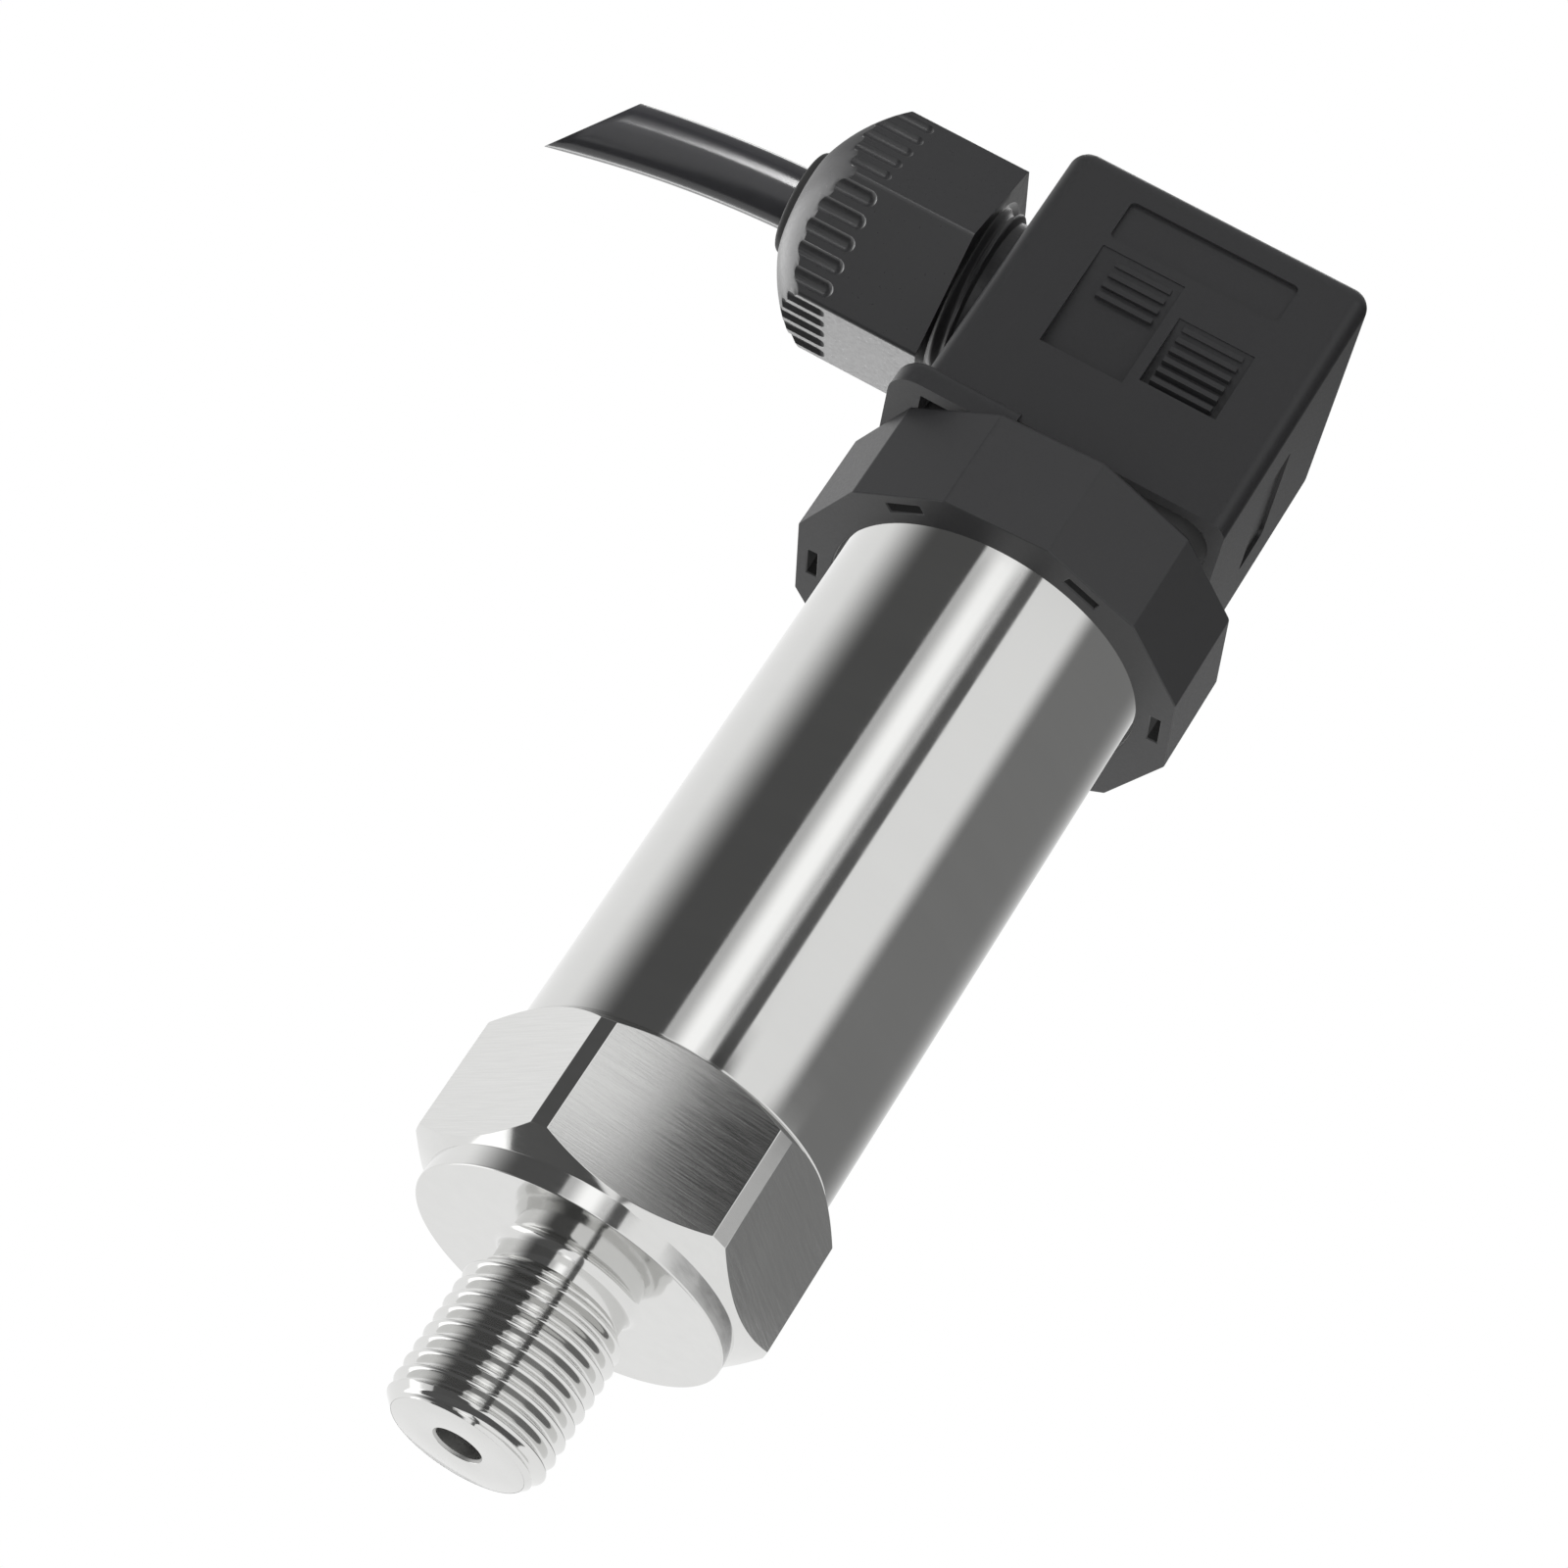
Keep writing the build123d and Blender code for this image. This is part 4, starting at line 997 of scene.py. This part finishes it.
def card(name, left, right, level, fade_left, fade_right, low=-100, high=900, radius=600,
         tucks_under=False):
    """A curved card between two angles from the camera's side, with soft edges.

    A card that tucks under goes on below the object, to just short of its axis.
    """
    work = bmesh.new()
    layer = work.loops.layers.uv.new("UVMap")
    columns = 48
    rows = [(radius, low), (radius, high)]
    if tucks_under:
        rows.insert(0, (radius * 0.02, low - radius))
    rings = []
    for reach, height in rows:
        ring = []
        for step in range(columns + 1):
            angle = camera_side + radians(left + (right - left) * step / columns)
            ring.append(work.verts.new((reach * cos(angle), reach * sin(angle), height)))
        rings.append(ring)
    for lower, upper in zip(rings, rings[1:]):
        for step in range(columns):
            face = work.faces.new((lower[step], lower[step + 1], upper[step + 1], upper[step]))
            for loop, spot in zip(face.loops, (step, step + 1, step + 1, step)):
                loop[layer].uv = (spot / columns, 0)
    sheet = new_piece(name, work)
    material = bpy.data.materials.new(name + "_finish")
    material.use_nodes = True
    tree = material.node_tree
    tree.nodes.remove(tree.nodes["Principled BSDF"])
    glow = tree.nodes.new("ShaderNodeEmission")
    glow.inputs["Color"].default_value = (level, level, level, 1)
    gone = tree.nodes.new("ShaderNodeBsdfTransparent")
    where = tree.nodes.new("ShaderNodeTexCoord")
    apart = tree.nodes.new("ShaderNodeSeparateXYZ")
    tree.links.new(where.outputs["UV"], apart.inputs[0])
    span = right - left
    edges = []
    for begin, end in ((0, fade_left / span), (1, 1 - fade_right / span)):
        ramp = tree.nodes.new("ShaderNodeMapRange")
        ramp.interpolation_type = "SMOOTHSTEP"
        ramp.inputs["From Min"].default_value = begin
        ramp.inputs["From Max"].default_value = end
        tree.links.new(apart.outputs["X"], ramp.inputs["Value"])
        edges.append(ramp.outputs["Result"])
    choose = tree.nodes.new("ShaderNodeMixShader")
    tree.links.new(reckon(tree, "MULTIPLY", *edges), choose.inputs["Fac"])
    tree.links.new(gone.outputs[0], choose.inputs[1])
    tree.links.new(glow.outputs[0], choose.inputs[2])
    tree.links.new(choose.outputs[0], tree.nodes["Material Output"].inputs["Surface"])
    sheet.data.materials.append(material)
    sheet.visible_camera = False
    sheet.visible_diffuse = False
    sheet.visible_shadow = False
    sheet.visible_transmission = False
    return sheet


cards = [
    card("card_wide", -114, -31.5, 0.09, 46, 3, tucks_under=True),
    card("card_window", -33, -1, 0.6, 1, 4, high=420),
    card("card_bright", -30, -2, 1.35, 13, 11, high=418, radius=590),
    card("card_middle", -5, 10.5, 0.12, 8, 1.5, radius=580, tucks_under=True),
    card("card_face_light", -12, 3, 0.95, 6, 1.5, low=234, high=269, radius=575),
    card("card_face_dark", -0.75, 22, 0.05, 1.2, 12, low=232, high=268, radius=570),
    card("card_corner", 40, 80, 0.55, 6, 8, low=226, high=263, radius=575),
    card("card_side", 44, 200, 0.22, 16, 80, low=229),
    card("card_below", -240, -20, 0.1, 16, 14, low=-745, high=-740, tucks_under=True),
    card("card_low_left", -168, -106, 1.5, 10, 6, low=-700, high=-380),
]
print("cards:", [c.name for c in cards])

# %% [markdown]
# The world is plain white where the camera or a reflection looks at it, and dimmer as a
# light, so that the lamps still model the shapes. Reflections find it darker overhead, as
# under a studio's ceiling.

# %% World
world = bpy.data.worlds.new("studio")
bpy.context.scene.world = world
world.use_nodes = True
tree = world.node_tree
sky = tree.nodes["Background"]
sky.inputs["Color"].default_value = (1, 1, 1, 1)
path = tree.nodes.new("ShaderNodeLightPath")
seen = reckon(
    tree, "MAXIMUM", path.outputs["Is Camera Ray"], path.outputs["Is Glossy Ray"]
)
seen = reckon(tree, "MAXIMUM", seen, path.outputs["Is Transmission Ray"])
power = tree.nodes.new("ShaderNodeMapRange")
power.inputs["To Min"].default_value = 0.5
power.inputs["To Max"].default_value = 1.0
tree.links.new(seen, power.inputs["Value"])
tree.links.new(power.outputs["Result"], sky.inputs["Strength"])
direction = tree.nodes.new("ShaderNodeTexCoord")
climb = tree.nodes.new("ShaderNodeSeparateXYZ")
tree.links.new(direction.outputs["Generated"], climb.inputs[0])
dusk = tree.nodes.new("ShaderNodeMapRange")
dusk.inputs["From Min"].default_value = sin(radians(31))
dusk.inputs["From Max"].default_value = sin(radians(37))
dusk.inputs["To Max"].default_value = 0.3
dusk.inputs["To Min"].default_value = 1.0
tree.links.new(climb.outputs["Z"], dusk.inputs["Value"])
tint = tree.nodes.new("ShaderNodeMix")
tint.data_type = "RGBA"
tint.inputs["A"].default_value = (1, 1, 1, 1)
tree.links.new(path.outputs["Is Glossy Ray"], tint.inputs["Factor"])
tree.links.new(dusk.outputs["Result"], tint.inputs["B"])
tree.links.new(tint.outputs["Result"], sky.inputs["Color"])
print("world:", world.name)

# %% [markdown]
# Three large soft lamps model the shapes and stay out of reflections. The other five show
# in the shine of the black plastic, which would look flat without them: a narrow strip
# close by draws the line on the cable, the edge lamp draws the nut's long edges, and the
# side, low and top lamps give its dome and lower face their sheen. Black plastic needs much
# more light than steel, so light linking keeps each of these lamps, and the cards, to the
# pieces that they are meant for. The fill lamp stands lower than the floor and would leave
# a bright streak on it, so it lights the part alone.

# %% Lamps
def lamp(name, place, size, radiance, aim_at=(0, 0, 45), shows=False):
    """An area lamp of some width and height in mm that looks at a point."""
    data = bpy.data.lights.new(name, "AREA")
    data.shape = "RECTANGLE"
    data.size = size[0] * MM
    data.size_y = size[1] * MM
    data.energy = radiance * pi * data.size * data.size_y
    light = bpy.data.objects.new(name, data)
    bpy.context.scene.collection.objects.link(light)
    light.location = Vector(place) * MM
    aim = Vector(aim_at) * MM - light.location
    light.rotation_euler = aim.to_track_quat("-Z", "Y").to_euler()
    light.visible_glossy = shows
    light.visible_camera = False
    return light


gland_middle = (-25, 0, 93)
gland_things = bpy.data.collections.new("gland_things")
for piece in (nut, grommet, cable, plug, plug_thread):
    gland_things.objects.link(piece)
lamps = (
    lamp("key", (-420, -480, 380), (420, 420), 5.8),
    lamp("fill", (-120, -560, -160), (420, 420), 2.3),
    lamp("back", (150, 520, 420), (420, 420), 3.6),
    lamp("strip", (-56, -116, 124), (8, 56), 38, (-34.5, 0, 92.4), shows=True),
    lamp("side", (-545, 270, 170), (540, 320), 1.7, gland_middle, shows=True),
    lamp("low", (-105, 390, 27), (150, 80), 3.2, gland_middle, shows=True),
    lamp("top", (-88, 308, 582), (300, 150), 2.5, gland_middle, shows=True),
    lamp("edge", (-145, -576, 207), (220, 200), 3, gland_middle, shows=True),
)
lamps = {light.name: light for light in lamps}
card_things = bpy.data.collections.new("card_things")
whole_part = bpy.data.collections.new("whole_part")
inner_pieces = [nodes[name] for name in inside]
for piece in (port, port_thread, tube, collar, nut, grommet, cable, *inner_pieces):
    card_things.objects.link(piece)
    whole_part.objects.link(piece)
for piece in (plug, plug_thread):
    whole_part.objects.link(piece)
for sheet in cards:
    sheet.light_linking.receiver_collection = card_things
lamps["fill"].light_linking.receiver_collection = whole_part
for piece in (nut, grommet, cable, plug_thread):
    piece.visible_glossy = False
for name in ("side", "low", "top"):
    lamps[name].light_linking.receiver_collection = gland_things
cable_only = bpy.data.collections.new("cable_only")
cable_only.objects.link(cable)
lamps["strip"].light_linking.receiver_collection = cable_only
nut_only = bpy.data.collections.new("nut_only")
nut_only.objects.link(nut)
lamps["edge"].light_linking.receiver_collection = nut_only
print("lamps:", list(lamps))

# %% [markdown]
# The camera's place and lens were found by fitting the thread, the hexagon and the plug to
# the photograph. It looks up at the object from below its right side, rolled by 34 degrees,
# through a long lens.

# %% Camera
camera_roll = radians(33.79)
camera_turn = radians(10.7)
camera_tilt = Vector((0, -0.8865, -0.4627))
side_on = Vector((1, 0, 0))
up_on = Vector((0, -0.4627, 0.8865))
camera_x = cos(camera_roll) * side_on + sin(camera_roll) * up_on
camera_y = -sin(camera_roll) * side_on + cos(camera_roll) * up_on
camera_axes = Matrix((camera_x, camera_y, camera_tilt)).transposed()
camera_axes = Matrix.Rotation(camera_turn, 3, "Z") @ camera_axes
camera_data = bpy.data.cameras.new("photo_camera")
camera_data.sensor_width = 36
camera_data.lens = 106.14
camera_data.clip_start = 0.01
camera = bpy.data.objects.new("photo_camera", camera_data)
bpy.context.scene.collection.objects.link(camera)
camera.matrix_world = Matrix.Translation(camera_place * MM) @ camera_axes.to_4x4()
bpy.context.scene.camera = camera
bpy.context.scene.view_settings.view_transform = "Standard"
print("camera", [round(v, 1) for v in camera_place])
